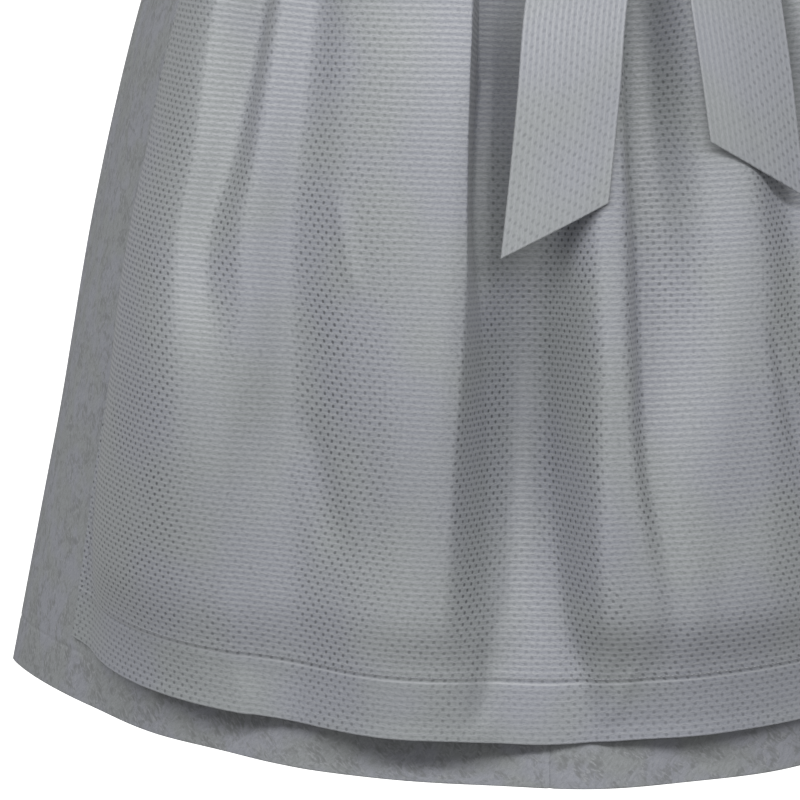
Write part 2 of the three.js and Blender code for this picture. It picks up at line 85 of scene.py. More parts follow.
@dataclass(frozen=True)
class Table:
    """Sizes in named columns, read smoothly along the first column."""

    columns: tuple[str, ...]
    rows: tuple[tuple[float, ...], ...]

    def read(self, at: Array, column: str) -> Array:
        """Reads one column.

        Args:
            at: where along the first column; it is held inside the table.
            column: the column's name.

        Returns:
            The value at each place, on a curve through the rows.
        """
        values = np.array(self.rows, float)
        keys, wanted = values[:, 0], values[:, self.columns.index(column)]
        last = len(keys) - 1
        every = np.arange(last + 1)
        low, high = np.maximum(every - 1, 0), np.minimum(every + 1, last)
        slopes = (wanted[high] - wanted[low]) / (keys[high] - keys[low])
        held = np.clip(at, keys[0], keys[-1])
        row = np.clip(np.searchsorted(keys, held, side="right") - 1, 0, last - 1)
        span = keys[row + 1] - keys[row]
        return curve((held - keys[row]) / span, span, (wanted[row], wanted[row + 1]),
                     (slopes[row], slopes[row + 1]))


@dataclass(frozen=True)
class Fold:
    """One fold of hanging cloth, a ridge if its depth is positive and a trough if it is negative.

    Its line runs straight from the angle `top` at the drop `start` to the angle `foot` at the drop `end`.
    It rises over the share `rise` of its length and falls away over the share `fall`. `steep` narrows its
    right flank.
    """

    top: float
    foot: float
    width: float
    depth: float
    start: float
    end: float
    rise: float = 0.3
    fall: float = 0.3
    steep: float = 1.0

    def lift(self, angle: Array, drop: Array) -> Array:
        """How far this fold stands out at each angle and drop."""
        along = (drop - self.start) / (self.end - self.start)
        aside = angle - lerp(self.top, self.foot, along)
        aside = aside - 360.0 * np.round(aside / 360.0)
        across = aside / np.where(aside > 0, self.width * self.steep, self.width)
        return self.depth * smooth(along / self.rise) * smooth((1.0 - along) / self.fall) * bump(across)


def relief(folds: tuple[Any, ...], angle: Array, drop: Array) -> Array:
    """How far a set of folds stands out at each angle and drop."""
    total = np.zeros(np.broadcast(angle, drop).shape)
    for fold in folds:
        total = total + fold.lift(angle, drop)
    return total


@dataclass(frozen=True)
class Gathers:
    """The small uneven folds where cloth is drawn up on a thread.

    Each runs down from the seam; their number, size and length vary within the given ranges.
    """

    first: float
    last: float
    count: int
    depth: tuple[float, float]
    length: tuple[float, float]
    start: float
    seed: int

    def folds(self) -> tuple[Fold, ...]:
        """The gathers as folds, the same on each run."""
        chance = np.random.default_rng(self.seed)
        step = (self.last - self.first) / self.count
        made = []
        for i in range(self.count):
            angle = self.first + step * (i + chance.uniform(0.2, 0.8))
            made.append(Fold(
                top=angle, foot=angle + chance.uniform(-0.8, 0.8), width=step * chance.uniform(0.4, 0.75),
                depth=chance.uniform(*self.depth), start=self.start - 8.0,
                end=self.start + chance.uniform(*self.length), rise=0.08, fall=0.75))
        return tuple(made)


@dataclass(frozen=True)
class FoldLine:
    """The line down the cloth of one crest, hollow or shoulder: its angle, and how far it stands out."""

    name: str
    angles: tuple[float, ...]
    lifts: tuple[float, ...]


@dataclass(frozen=True)
class HangingFolds:
    """The broad folds of hanging cloth, drawn through the lines of their crests and hollows.

    `drops` are the places down the cloth that the lines' angles and lifts are given at. Between two lines
    the cloth passes smoothly from one to the other and never beyond either.
    """

    drops: tuple[float, ...]
    lines: tuple[FoldLine, ...]

    def along(self, drop: Array, values: tuple[float, ...]) -> Array:
        """One line's angle or lift at each drop."""
        return Table(("drop", "value"), tuple(zip(self.drops, values))).read(drop, "value")

    def lift(self, angle: Array, drop: Array) -> Array:
        """How far the folds stand out at each angle and drop."""
        angle, drop = np.broadcast_arrays(np.asarray(angle, float), np.asarray(drop, float))
        places = np.stack([self.along(drop, line.angles) for line in self.lines], -1)
        heights = np.stack([self.along(drop, line.lifts) for line in self.lines], -1)
        held = np.clip(angle, places[..., 0], places[..., -1])
        steps = np.diff(places, axis=-1)
        grades = np.diff(heights, axis=-1) / steps
        before, after = grades[..., :-1], grades[..., 1:]
        same = before * after > 0
        inner = np.where(same, 2 * before * after / np.where(same, before + after, 1.0), 0.0)
        ends = np.zeros((*angle.shape, 1))
        slopes = np.concatenate([ends, inner, ends], -1)
        at = np.clip(np.sum(places <= held[..., None], -1) - 1, 0, len(self.lines) - 2)[..., None]

        def pick(values: Array, shift: int = 0) -> Array:
            """The values that belong to the line on the left of each place, or to a later line."""
            return np.take_along_axis(values, at + shift, -1)[..., 0]

        span = pick(steps)
        return curve((held - pick(places)) / span, span, (pick(heights), pick(heights, 1)),
                     (pick(slopes), pick(slopes, 1)))


@dataclass(frozen=True)
class Unevenness:
    """The slight swells and hollows of cloth that has been worn: many soft waves, all ways, added up."""

    height: float
    shortest: float
    longest: float
    seed: int
    count: int = 36
    radius: float = 270.0

    def lift(self, angle: Array, drop: Array) -> Array:
        """How far the cloth swells out at each angle and drop."""
        chance = np.random.default_rng(self.seed)
        across = np.radians(angle) * self.radius
        total = np.zeros(np.broadcast(angle, drop).shape)
        for _ in range(self.count):
            length = math.exp(chance.uniform(math.log(self.shortest), math.log(self.longest)))
            turn, phase = chance.uniform(0, math.pi), chance.uniform(0, 2 * math.pi)
            along = (across * math.cos(turn) + drop * 0.6 * math.sin(turn)) * 2 * math.pi / length
            total = total + length / self.longest * np.sin(along + phase)
        return self.height * total / math.sqrt(self.count)


# ---------------------------------------------------------------- the form


@dataclass(frozen=True)
class Form:
    """The oval form that all the cloth lies on, in millimetres."""

    # "taper" draws the front half in towards the sides: 1 is a true oval, 2 a parabola
    skirt: Table = Table(("drop", "half", "front", "back", "taper"), (
        (0, 130, 97, 90, 1), (12, 132, 99, 92, 1), (30, 152, 117, 112, 1), (60, 191, 150, 148, 1),
        (110, 238, 192, 194, 1.04), (200, 273, 226, 232, 1.15), (350, 311, 255, 262, 1.38),
        (520, 347.5, 283, 289, 1.56), (700, 384, 311, 315, 1.64)))
    bodice: Table = Table(("height", "half", "front", "back"), (
        (0, 130, 97, 90), (45, 131, 99, 90), (95, 138, 104, 93), (150, 149, 111, 98), (203, 153, 110, 102),
        (392, 150, 110, 102)))
    shoulder_height: float = 392.0
    underarm_height: float = 203.0
    shoulder_slope: float = 0.22
    neck_half_width: float = 62.0

    def arch(self, height: Array, is_front: Array) -> Array:
        """The share of the chest's depth that the shoulders' arch leaves at a height."""
        rise = np.clip((height - self.underarm_height) / (self.shoulder_height - self.underarm_height), 0, 1)
        return np.where(is_front, (1 - rise ** 1.5) ** (1 / 1.7), (1 - rise ** 2.4) ** (1 / 1.9))

    def point(self, angle: Array, height: Array) -> Array:
        """The points of the bare form at each angle and height."""
        angle, height = np.broadcast_arrays(np.asarray(angle, float), np.asarray(height, float))
        turn = np.radians(angle)
        is_front, below = np.cos(turn) >= 0, height < 0
        half, front, back = (np.where(below, self.skirt.read(-height, size), self.bodice.read(height, size))
                             for size in ("half", "front", "back"))
        depth = np.where(is_front, front, back) * self.arch(height, is_front)
        taper = np.where(is_front & below, self.skirt.read(-height, "taper"), 1.0)
        x = half * np.sin(turn)
        y = -depth * np.sign(np.cos(turn)) * np.abs(np.cos(turn)) ** taper
        rise = smooth((height - self.underarm_height) / (self.shoulder_height - self.underarm_height))
        fall = self.shoulder_slope * np.maximum(np.abs(x) - self.neck_half_width, 0) * rise
        return np.stack([x, y, height - fall], axis=-1)

    def normal(self, angle: Array, height: Array) -> Array:
        """The directions straight out of the form; they stay level at the waist seam."""
        angle, height = np.broadcast_arrays(np.asarray(angle, float), np.asarray(height, float))
        step = np.where(height < 0, -1.0, 1.0)
        inside = np.minimum(height, self.shoulder_height - 1.5)
        turned = self.point(angle + 0.5, inside) - self.point(angle - 0.5, inside)
        raised = (self.point(angle, inside + 1.5 * step) - self.point(angle, inside)) * step[..., None]
        out = unit(np.cross(turned, raised))
        out[..., 2] *= smooth(np.abs(height) / 20.0)
        return unit(out)

    def place(self, angle: Array, height: Array, lift: Array) -> Array:
        """The points that stand out from the form by a lift."""
        return self.point(angle, height) + self.normal(angle, height) * np.asarray(lift, float)[..., None]

    def faces(self, angle: Array, height: Array, lift: Array, thickness: float) -> tuple[Array, Array]:
        """The outer face of a cloth, which stands out by a lift, and its inner face."""
        return self.place(angle, height, lift), self.place(angle, height, lift - thickness)

    def degrees_for(self, millimetres: Array, angle: Array, height: Array, lift: Array) -> Array:
        """Degrees for a length along the front of the skirt, at an angle, a height and a lift."""
        drop = np.maximum(-np.asarray(height, float), 0.0)
        across = (self.skirt.read(drop, "half") + lift) * np.cos(np.radians(angle))
        inward = (self.skirt.read(drop, "front") + lift) * np.sin(np.radians(angle))
        return np.degrees(millimetres / np.hypot(across, inward))

    def seam_groove(self, millimetres: Array) -> Array:
        """How far a seam draws the cloth in at a distance from it."""
        return -0.9 * bump(millimetres / 2.6)


def unit(vectors: Array) -> Array:
    """The vectors at length 1."""
    return vectors / np.maximum(np.linalg.norm(vectors, axis=-1, keepdims=True), 1e-12)


def spaced(start: float, end: float, count: int, *rims: float) -> Array:
    """Even places from start to end, with more close to each end, so that an edge can be round.

    Args:
        start: the first place.
        end: the last place.
        count: how many even steps there are.
        *rims: how far from each end the added places lie; one at 0.8 if none is given.

    Returns:
        The places in order.
    """
    sign = 1.0 if end > start else -1.0
    even = np.linspace(start, end, count + 1)
    added = sign * np.array(rims or (0.8,))
    return np.concatenate([[start], start + added, even[1:-1], end - added[::-1], [end]])


def with_detail(places: Array, centre: float, reach: float, step: float) -> Array:
    """Places made close together around a fine detail.

    Args:
        places: the places there are.
        centre: where the detail lies.
        reach: how far to each side of it the close places go.
        step: their distance.

    Returns:
        All the places in order, none of them twice.
    """
    kept = places[np.abs(places - centre) > reach]
    return np.sort(np.concatenate([kept, np.arange(centre - reach, centre + reach + step / 2, step)]))


# ---------------------------------------------------------------- meshes


def linked(name: str, data: Any) -> Object:
    """A new object that holds the data, linked to the scene."""
    obj = bpy.data.objects.new(name, data)
    bpy.context.scene.collection.objects.link(obj)
    return obj


def new_object(name: str, points: Array, faces: list[list[int]],
               finish: Material) -> Object:
    """Makes a smooth mesh object whose place is in its mesh.

    Args:
        name: the object's name.
        points: the vertices, in millimetres.
        faces: the vertices of each face.
        finish: the material.

    Returns:
        The new object, linked to the scene.
    """
    mesh = bpy.data.meshes.new(name)
    mesh.from_pydata((points * MM).tolist(), [], faces)
    mesh.polygons.foreach_set("use_smooth", [True] * len(mesh.polygons))
    mesh.materials.append(finish)
    mesh.update()
    return linked(name, mesh)


def faces_inwards(points: Array, quads: Array) -> bool:
    """Whether quads face inwards, which the sign of the volume inside them tells."""
    a, b, c, d = (points[quads[:, i]] for i in range(4))
    return bool(np.sum(a * np.cross(b, c)) + np.sum(a * np.cross(c, d)) < 0)


def stacked_rings(rings: int, columns: int) -> list[list[int]]:
    """The faces round a stack of rings and over its two ends, whose single points come last."""
    here = np.arange(rings * columns).reshape(rings, columns)
    after = np.roll(here, -1, axis=1)
    first_end, last_end = np.full(columns, here.size), np.full(columns, here.size + 1)
    walls = np.stack([here[:-1], after[:-1], after[1:], here[1:]], -1).reshape(-1, 4)
    return (walls.tolist() + np.stack([after[0], here[0], first_end], -1).tolist()
            + np.stack([here[-1], after[-1], last_end], -1).tolist())


@dataclass
class ClothWall:
    """A closed thin wall of cloth on a grid of places, with rounded edges and a weave map.

    `outer` and `inner` are the two faces, (rows, columns, 3) in millimetres. `weave` gives each place of
    the grid on the flat cloth, in millimetres. `bulge` is how far the four edges (first row, last column,
    last row, first column) are rounded out; 0 leaves one flat, as at a seam. The painted-shade field tells
    how far the weave's pits are darkened as painted shade, and `doubled` where the cloth is turned double.
    """

    name: str
    outer: Array
    inner: Array
    weave: Array
    bulge: tuple[float, float, float, float] = (0.4, 0.4, 0.4, 0.4)
    openness: Array | None = None
    doubled: Array | None = None

    def boundary(self) -> tuple[Array, Array]:
        """The grid's edge in order, and how far and which way each of its points is rounded out."""
        rows, columns = self.outer.shape[:2]
        index = np.arange(rows * columns).reshape(rows, columns)
        ring = np.concatenate([index[0, :-1], index[:-1, -1], index[-1, :0:-1], index[:0:-1, 0]])
        push = np.zeros((rows, columns, 3))
        top, right, bottom, left = self.bulge
        push[0] += top * unit(self.outer[0] - self.outer[1])
        push[-1] += bottom * unit(self.outer[-1] - self.outer[-2])
        push[:, -1] += right * unit(self.outer[:, -1] - self.outer[:, -2])
        push[:, 0] += left * unit(self.outer[:, 0] - self.outer[:, 1])
        return ring, push.reshape(-1, 3)

    def build(self, finish: Material) -> Object:
        """Makes the object.

        Args:
            finish: the cloth's material.

        Returns:
            The new object.
        """
        rows, columns = self.outer.shape[:2]
        count = rows * columns
        index = np.arange(count).reshape(rows, columns)
        quads = np.stack([index[:-1, :-1], index[:-1, 1:], index[1:, 1:], index[1:, :-1]], -1).reshape(-1, 4)
        ring, push = self.boundary()
        outer, inner = self.outer.reshape(-1, 3), self.inner.reshape(-1, 3)
        middle = (outer[ring] + inner[ring]) / 2 + push[ring]
        points = np.concatenate([outer, inner, middle])
        here, after = np.arange(len(ring)), np.roll(np.arange(len(ring)), -1)
        mid_here, mid_after = 2 * count + here, 2 * count + after
        edge_out = np.stack([ring[after], ring[here], mid_here, mid_after], -1)
        edge_in = np.stack([mid_after, mid_here, count + ring[here], count + ring[after]], -1)
        faces = np.concatenate([quads, quads[:, ::-1] + count, edge_out, edge_in])
        if faces_inwards(points, faces):
            faces = faces[:, ::-1]
        obj = new_object(self.name, points, faces.tolist(), finish)
        flat = self.weave.reshape(-1, 2)
        self.lay_weave(obj.data, np.concatenate([flat, flat, flat[ring]]))
        for name, values in (("openness", self.openness), ("doubled", self.doubled)):
            spread = np.zeros(count) if values is None else np.broadcast_to(values, (rows, columns)).ravel()
            layer = obj.data.attributes.new(name, "FLOAT", "POINT")
            layer.data.foreach_set("value", np.concatenate([spread, spread, spread[ring]]).astype(np.float32))
        return obj

    @staticmethod
    def lay_weave(mesh: bpy.types.Mesh, places: Array) -> None:
        """Writes the places on the flat cloth to the mesh's own map, in metres."""
        corners = np.empty(len(mesh.loops), np.int32)
        mesh.loops.foreach_get("vertex_index", corners)
        layer = mesh.uv_layers.new(name=WEAVE_MAP)
        layer.uv.foreach_set("vector", (places[corners] * MM).astype(np.float32).ravel())


def line_lengths(line: Array) -> Array:
    """The length from the first point of a line to each of its points."""
    return np.concatenate([[0.0], np.cumsum(np.linalg.norm(np.diff(line, axis=0), axis=-1))])


def down_the_cloth(points: Array) -> Array:
    """The length from the first row to each row, measured on the middle column."""
    return line_lengths(points[:, points.shape[1] // 2])


def along_the_cloth(points: Array) -> Array:
    """The length from the first column to each column, measured on the middle row."""
    return line_lengths(points[points.shape[0] // 2])


def across_the_cloth(points: Array, rows: int) -> Array:
    """The length along each row from its middle, evened out over some rows as woven threads would be."""
    lengths = np.linalg.norm(np.diff(points, axis=1), axis=-1)
    total = np.concatenate([np.zeros((len(points), 1)), np.cumsum(lengths, axis=1)], axis=1)
    total = total - total[:, [points.shape[1] // 2]]
    padded = np.pad(total, ((rows, rows), (0, 0)), mode="edge")
    summed = np.cumsum(padded, axis=0)
    before = np.concatenate([np.zeros((1, total.shape[1])), summed[:-2 * rows - 1]])
    return (summed[2 * rows:] - before) / (2 * rows + 1)


def turned_aside(points: Array, gentle: float, strong: float, under: float = 0.0) -> Array:
    """How far each place of a grid faces sideways: 0 where it faces the front, 1 on steep flanks.

    It sets how much painted shade darkens the weave's pits: little on the crests, more on the flanks and
    underneath a fold's lower end.

    Args:
        points: the grid's points.
        gentle: the sideways lean, as a sine, at which the painted shade in the pits begins.
        strong: the lean at which that painted shade is full.
        under: how much painted shade the pits get where the cloth faces down.
    """
    across, down = np.gradient(points, axis=1), np.gradient(points, axis=0)
    normal = unit(np.cross(across, down))
    beneath = under * smooth((normal[..., 2] + 0.04) / 0.22)
    return np.maximum(smooth((np.abs(normal[..., 0]) - gentle) / (strong - gentle)), beneath)


# ---------------------------------------------------------------- finishes


def linear(hex_code: str) -> tuple[float, float, float, float]:
    """An sRGB hex colour as linear values with full alpha."""
    parts = [int(hex_code[i:i + 2], 16) / 255 for i in (0, 2, 4)]
    return (*(p / 12.92 if p <= 0.04045 else ((p + 0.055) / 1.055) ** 2.4 for p in parts), 1.0)


def feed(tree: NodeTree, node: bpy.types.Node, inputs: dict[Any, Any]) -> None:
    """Gives a node its inputs, by name or number: each a value or another node's output."""
    for key, value in inputs.items():
        if isinstance(value, Socket):
            tree.links.new(value, node.inputs[key])
        else:
            node.inputs[key].default_value = value


def add(tree: NodeTree, kind: str, inputs: dict[Any, Any] | None = None,
        **settings: Any) -> bpy.types.Node:
    """Adds a node with its settings and its inputs.

    Args:
        tree: the node tree.
        kind: the node's type name.
        inputs: for each input, by name or number, a value or another node's output.
        **settings: the node's own properties.

    Returns:
        The new node.
    """
    node = tree.nodes.new(kind)
    for name, value in settings.items():
        setattr(node, name, value)
    feed(tree, node, inputs or {})
    return node


class Shader:
    """A new node material, with short names for the nodes that the finishes share.

    Sizes are in metres, and each method returns a node's output.
    """

    def __init__(self, name: str) -> None:
        """Makes the material with its surface shader alone."""
        self.material = bpy.data.materials.new(name)
        self.material.use_nodes = True
        self.tree = self.material.node_tree
        self.tree.nodes.clear()
        self.surface = add(self.tree, "ShaderNodeBsdfPrincipled")
        add(self.tree, "ShaderNodeOutputMaterial", {"Surface": self.surface.outputs[0]})

    def node(self, kind: str, inputs: dict[Any, Any] | None = None, output: Any = 0,
             **settings: Any) -> Socket:
        """One output of a new node of a kind."""
        return add(self.tree, f"ShaderNode{kind}", inputs, **settings).outputs[output]

    def sum(self, operation: str, *values: Any) -> Socket:
        """The result of one sum on numbers or outputs."""
        return self.node("Math", dict(enumerate(values)), operation=operation)

    def times(self, *values: Any) -> Socket:
        """The product of numbers or outputs."""
        product = values[0]
        for value in values[1:]:
            product = self.sum("MULTIPLY", product, value)
        return product

    def wave(self, share: Any, count: float) -> Socket:
        """A cosine that runs through some whole turns in each unit."""
        return self.sum("COSINE", self.times(share, count * 2 * math.pi))

    def noise(self, place: Any, size: float, detail: float, roughness: float = 0.5,
              distortion: float = 0.0, output: str = "Fac") -> Socket:
        """Noise of about a size, with its detail, its roughness and its distortion."""
        return self.node("TexNoise", {"Vector": place, "Scale": 1 / size, "Detail": detail,
                                      "Roughness": roughness, "Distortion": distortion}, output)

    def ranged(self, value: Any, low: float, high: float, to_low: float = 0.0,
               to_high: float = 1.0) -> Socket:
        """A value carried softly from one range to another."""
        return self.node("MapRange", {0: value, 1: low, 2: high, 3: to_low, 4: to_high},
                         interpolation_type="SMOOTHSTEP")

    def mixed(self, share: Any, first: Any, second: Any) -> Socket:
        """The colour between two colours, each a hex code or an output, by a share."""
        colours = [linear(colour) if isinstance(colour, str) else colour for colour in (first, second)]
        return self.node("Mix", {0: share, 6: colours[0], 7: colours[1]}, 2, data_type="RGBA")

    def dented(self, height: Any, depth: float, strength: float) -> Socket:
        """The surface's directions where a height dents it."""
        return self.node("Bump", {"Height": height, "Distance": depth, "Strength": strength})

    def finished(self, **inputs: Any) -> Material:
        """The material, with the surface's inputs: Base_Color stands for "Base Color", and so on."""
        feed(self.tree, self.surface, {name.replace("_", " "): value for name, value in inputs.items()})
        return self.material


@dataclass(frozen=True)
class DobbyCloth:
    """Cotton and viscose dobby: satin ribs along the weft, tied down at small pits set in a diamond.

    The ribs are lighter than the ground and the pits dark, with painted shade that darkens the pits more on
    the flanks and undersides of a fold. Ribs are 4 mm apart and pits 8 mm apart in a row. The threads
    between them are drawn at 0.9 mm, about twice their real size, so that they show.
    """

    name: str
    ground: str
    rib: str
    pit: str
    cool: str
    warm: str
    rib_share: float = 0.95
    pit_share: float = 0.8
    repeat: float = 8.0
    thread: float = 0.9
    relief_height: float = 0.24
    # how far the rows wander, as a share of the repeat, and over what length of cloth, in metres
    wander: tuple[float, float, float] = (0.34, 0.2, 0.0)
    wander_size: float = 0.045
    # the sizes of the patches in which the pits and the tint change, in metres
    pit_patch: float = 0.03
    tint_patch: float = 0.11

    def pattern(self, shader: Shader, place: Any) -> tuple[Any, Any]:
        """The ribs and the pits of the repeat, each as a height from 0 to 1."""
        repeats = shader.node("VectorMath", {0: place, "Scale": 1 / (self.repeat * MM)}, operation="SCALE")
        drift = shader.noise(place, self.wander_size, 1.0, output="Color")
        centred = shader.node("VectorMath", {0: drift, 1: (0.5, 0.5, 0.5)}, operation="SUBTRACT")
        shifted = shader.node("VectorMath", {0: centred, 1: self.wander, 2: repeats},
                              operation="MULTIPLY_ADD")
        along, down = (shader.node("SeparateXYZ", {0: shifted}, axis) for axis in (0, 1))
        lattice = shader.times(shader.wave(along, 1), shader.wave(down, 1))
        rib = shader.sum("MULTIPLY_ADD", shader.wave(down, 2), -0.5, 0.5)
        return rib, shader.ranged(lattice, 0.32, 0.95)

    def build(self) -> Material:
        """Makes the material."""
        shader = Shader(self.name)
        place = shader.node("UVMap", uv_map=WEAVE_MAP)
        rib, pit = self.pattern(shader, place)
        openness, doubled = (shader.node("Attribute", None, "Fac", attribute_name=name)
                             for name in ("openness", "doubled"))
        uneven = shader.noise(place, self.pit_patch, 3.0, 0.6)
        stretched = shader.node("Mapping", {"Vector": place, "Scale": (0.3, 1.0, 1.0)})
        threads = shader.noise(stretched, self.thread * MM, 2.0, 0.7)
        broad = shader.ranged(shader.noise(place, self.tint_patch, 2.0), 0.38, 0.62)
        ground = shader.mixed(0.35, self.ground, shader.mixed(broad, self.cool, self.warm))
        flattened = shader.sum("MULTIPLY_ADD", doubled, -0.4, 1.0)
        broken = shader.ranged(threads, 0.3, 0.7, 0.25 * self.rib_share, self.rib_share)
        ribbed = shader.mixed(shader.times(rib, flattened, broken), ground, self.rib)
        streaked = shader.mixed(shader.ranged(threads, 0.6, 0.2, 0.0, 0.38), ribbed, self.pit)
        # Painted shade: the pits are darkened further where the cloth's painted-shade attribute is high, on
        # the flanks and undersides of folds
        seen = shader.times(shader.sum("MULTIPLY_ADD", openness, self.pit_share, 0.09),
                            shader.ranged(uneven, 0.3, 0.7, 0.7, 1.15),
                            shader.sum("MULTIPLY_ADD", doubled, -0.25, 1.0))
        sunk = shader.times(pit, seen)
        spotted = shader.mixed(sunk, streaked, self.pit)
        # Painted highlight: a thin line of the rib colour along the hem's fold, where the doubled cloth
        # begins
        edge = shader.times(shader.ranged(doubled, 0.05, 0.5), shader.ranged(doubled, 0.95, 0.5), 0.55)
        raised = shader.sum("MULTIPLY_ADD", rib, 0.5, shader.times(sunk, -1.0))
        raised = shader.sum("MULTIPLY_ADD", threads, 0.22, raised)
        return shader.finished(
            Base_Color=shader.mixed(edge, spotted, self.rib),
            Normal=shader.dented(raised, self.relief_height * MM, 0.9),
            Roughness=shader.ranged(rib, 0.0, 1.0, 0.62, 0.46),
            Specular_IOR_Level=0.6, Sheen_Weight=0.12, Sheen_Roughness=0.45)


@dataclass(frozen=True)
class JacquardCloth:
    """Matt cotton jacquard, woven tone on tone with a common scatter of leaf strokes.

    The strokes are about 2 mm wide and 5 mm long and lean two ways in patches, some lighter and some darker
    than the ground, so the cloth looks mottled rather than striped. The thread grain is drawn at 0.8 mm,
    about twice its real size, so that it shows.
    """

    name: str
    ground: str
    light: str
    dark: str
    cool: str
    green: str
    patch: float = 13.0
    stroke: float = 2.0
    slender: float = 0.42
    grain: float = 0.8
    tint_patch: float = 40.0
    relief_height: float = 0.17

    def strokes(self, shader: Shader, place: Any, lean: float) -> Socket:
        """Feathery strokes that lean by an angle in degrees, as a soft field round 0.5."""
        turned = shader.node("Mapping", {"Vector": place, "Rotation": (0, 0, math.radians(lean))})
        drawn = shader.node("Mapping", {"Vector": turned, "Scale": (1.0, self.slender, 1.0)})
        return shader.noise(drawn, self.stroke * MM, 1.5, 0.6, 0.5)

    def build(self) -> Material:
        """Makes the material."""
        shader = Shader(self.name)
        place = shader.node("UVMap", uv_map=WEAVE_MAP)
        patches = shader.noise(place, self.patch * MM, 2.0, distortion=1.2)
        leaning = shader.mixed(shader.ranged(patches, 0.44, 0.56), self.strokes(shader, place, 38.0),
                               self.strokes(shader, place, -47.0))
        leaf = shader.ranged(patches, 0.36, 0.66, 0.35, 1.0)
        flecks = shader.noise(place, self.grain * MM, 2.0, 0.75)
        broad = shader.ranged(shader.noise(place, self.tint_patch * MM, 3.0), 0.42, 0.58)
        base = shader.mixed(0.55, self.ground, shader.mixed(broad, self.green, self.cool))
        base = shader.mixed(shader.ranged(patches, 0.42, 0.68, 0.0, 0.6), base, self.dark)
        lit = shader.times(shader.ranged(leaning, 0.5, 0.66), leaf, 0.55)
        shaded = shader.times(shader.ranged(leaning, 0.5, 0.36), leaf, 0.6)
        figured = shader.mixed(shaded, shader.mixed(lit, base, self.light), self.dark)
        raised = shader.sum("MULTIPLY_ADD", leaning, 1.2, flecks)
        return shader.finished(
            Base_Color=shader.mixed(shader.ranged(flecks, 0.35, 0.75, 0.0, 0.35), figured, self.dark),
            Normal=shader.dented(raised, self.relief_height * MM, 0.9),
            Roughness=shader.ranged(flecks, 0.3, 0.7, 0.78, 0.92),
            Specular_IOR_Level=0.25, Sheen_Weight=0.08, Sheen_Roughness=0.5)


@dataclass(frozen=True)
class Pewter:
    """Cast pewter, tumbled: a soft grey metal, duller and darker in its hollows."""

    name: str = "cast_pewter"
    bright: str = "9FA1A3"
    dark: str = "4C4D4F"
    mottle: float = 1.6
    hollow: float = 1.5
    dent: float = 0.06

    def build(self) -> Material:
        """Makes the material."""
        shader = Shader(self.name)
        mottle = shader.noise(shader.node("TexCoord", None, "Object"), self.mottle * MM, 4.0, 0.65)
        open_sky = shader.node("AmbientOcclusion", {"Distance": self.hollow * MM}, "AO", samples=4)
        worn = shader.times(shader.ranged(open_sky, 0.35, 0.95), shader.ranged(mottle, 0.2, 0.6, 0.6, 1))
        return shader.finished(
            Base_Color=shader.mixed(worn, self.dark, self.bright),
            Normal=shader.dented(mottle, self.dent * MM, 0.5),
            Roughness=shader.ranged(mottle, 0.3, 0.7, 0.3, 0.46), Metallic=1.0)


@dataclass(frozen=True)
class Thread:
    """Polyester sewing thread: a fine two-ply twist with a low sheen."""

    name: str
    colour: str
    shade: str
    twist: float = 1.4

    def build(self) -> Material:
        """Makes the material."""
        shader = Shader(self.name)
        twist = shader.node("TexWave", {
            "Vector": shader.node("TexCoord", None, "Object"), "Scale": 1 / (self.twist * MM),
            "Distortion": 1.5}, "Fac", bands_direction="DIAGONAL")
        return shader.finished(Base_Color=shader.mixed(twist, self.shade, self.colour), Roughness=0.55,
                               Specular_IOR_Level=0.4)


# ---------------------------------------------------------------- stitches


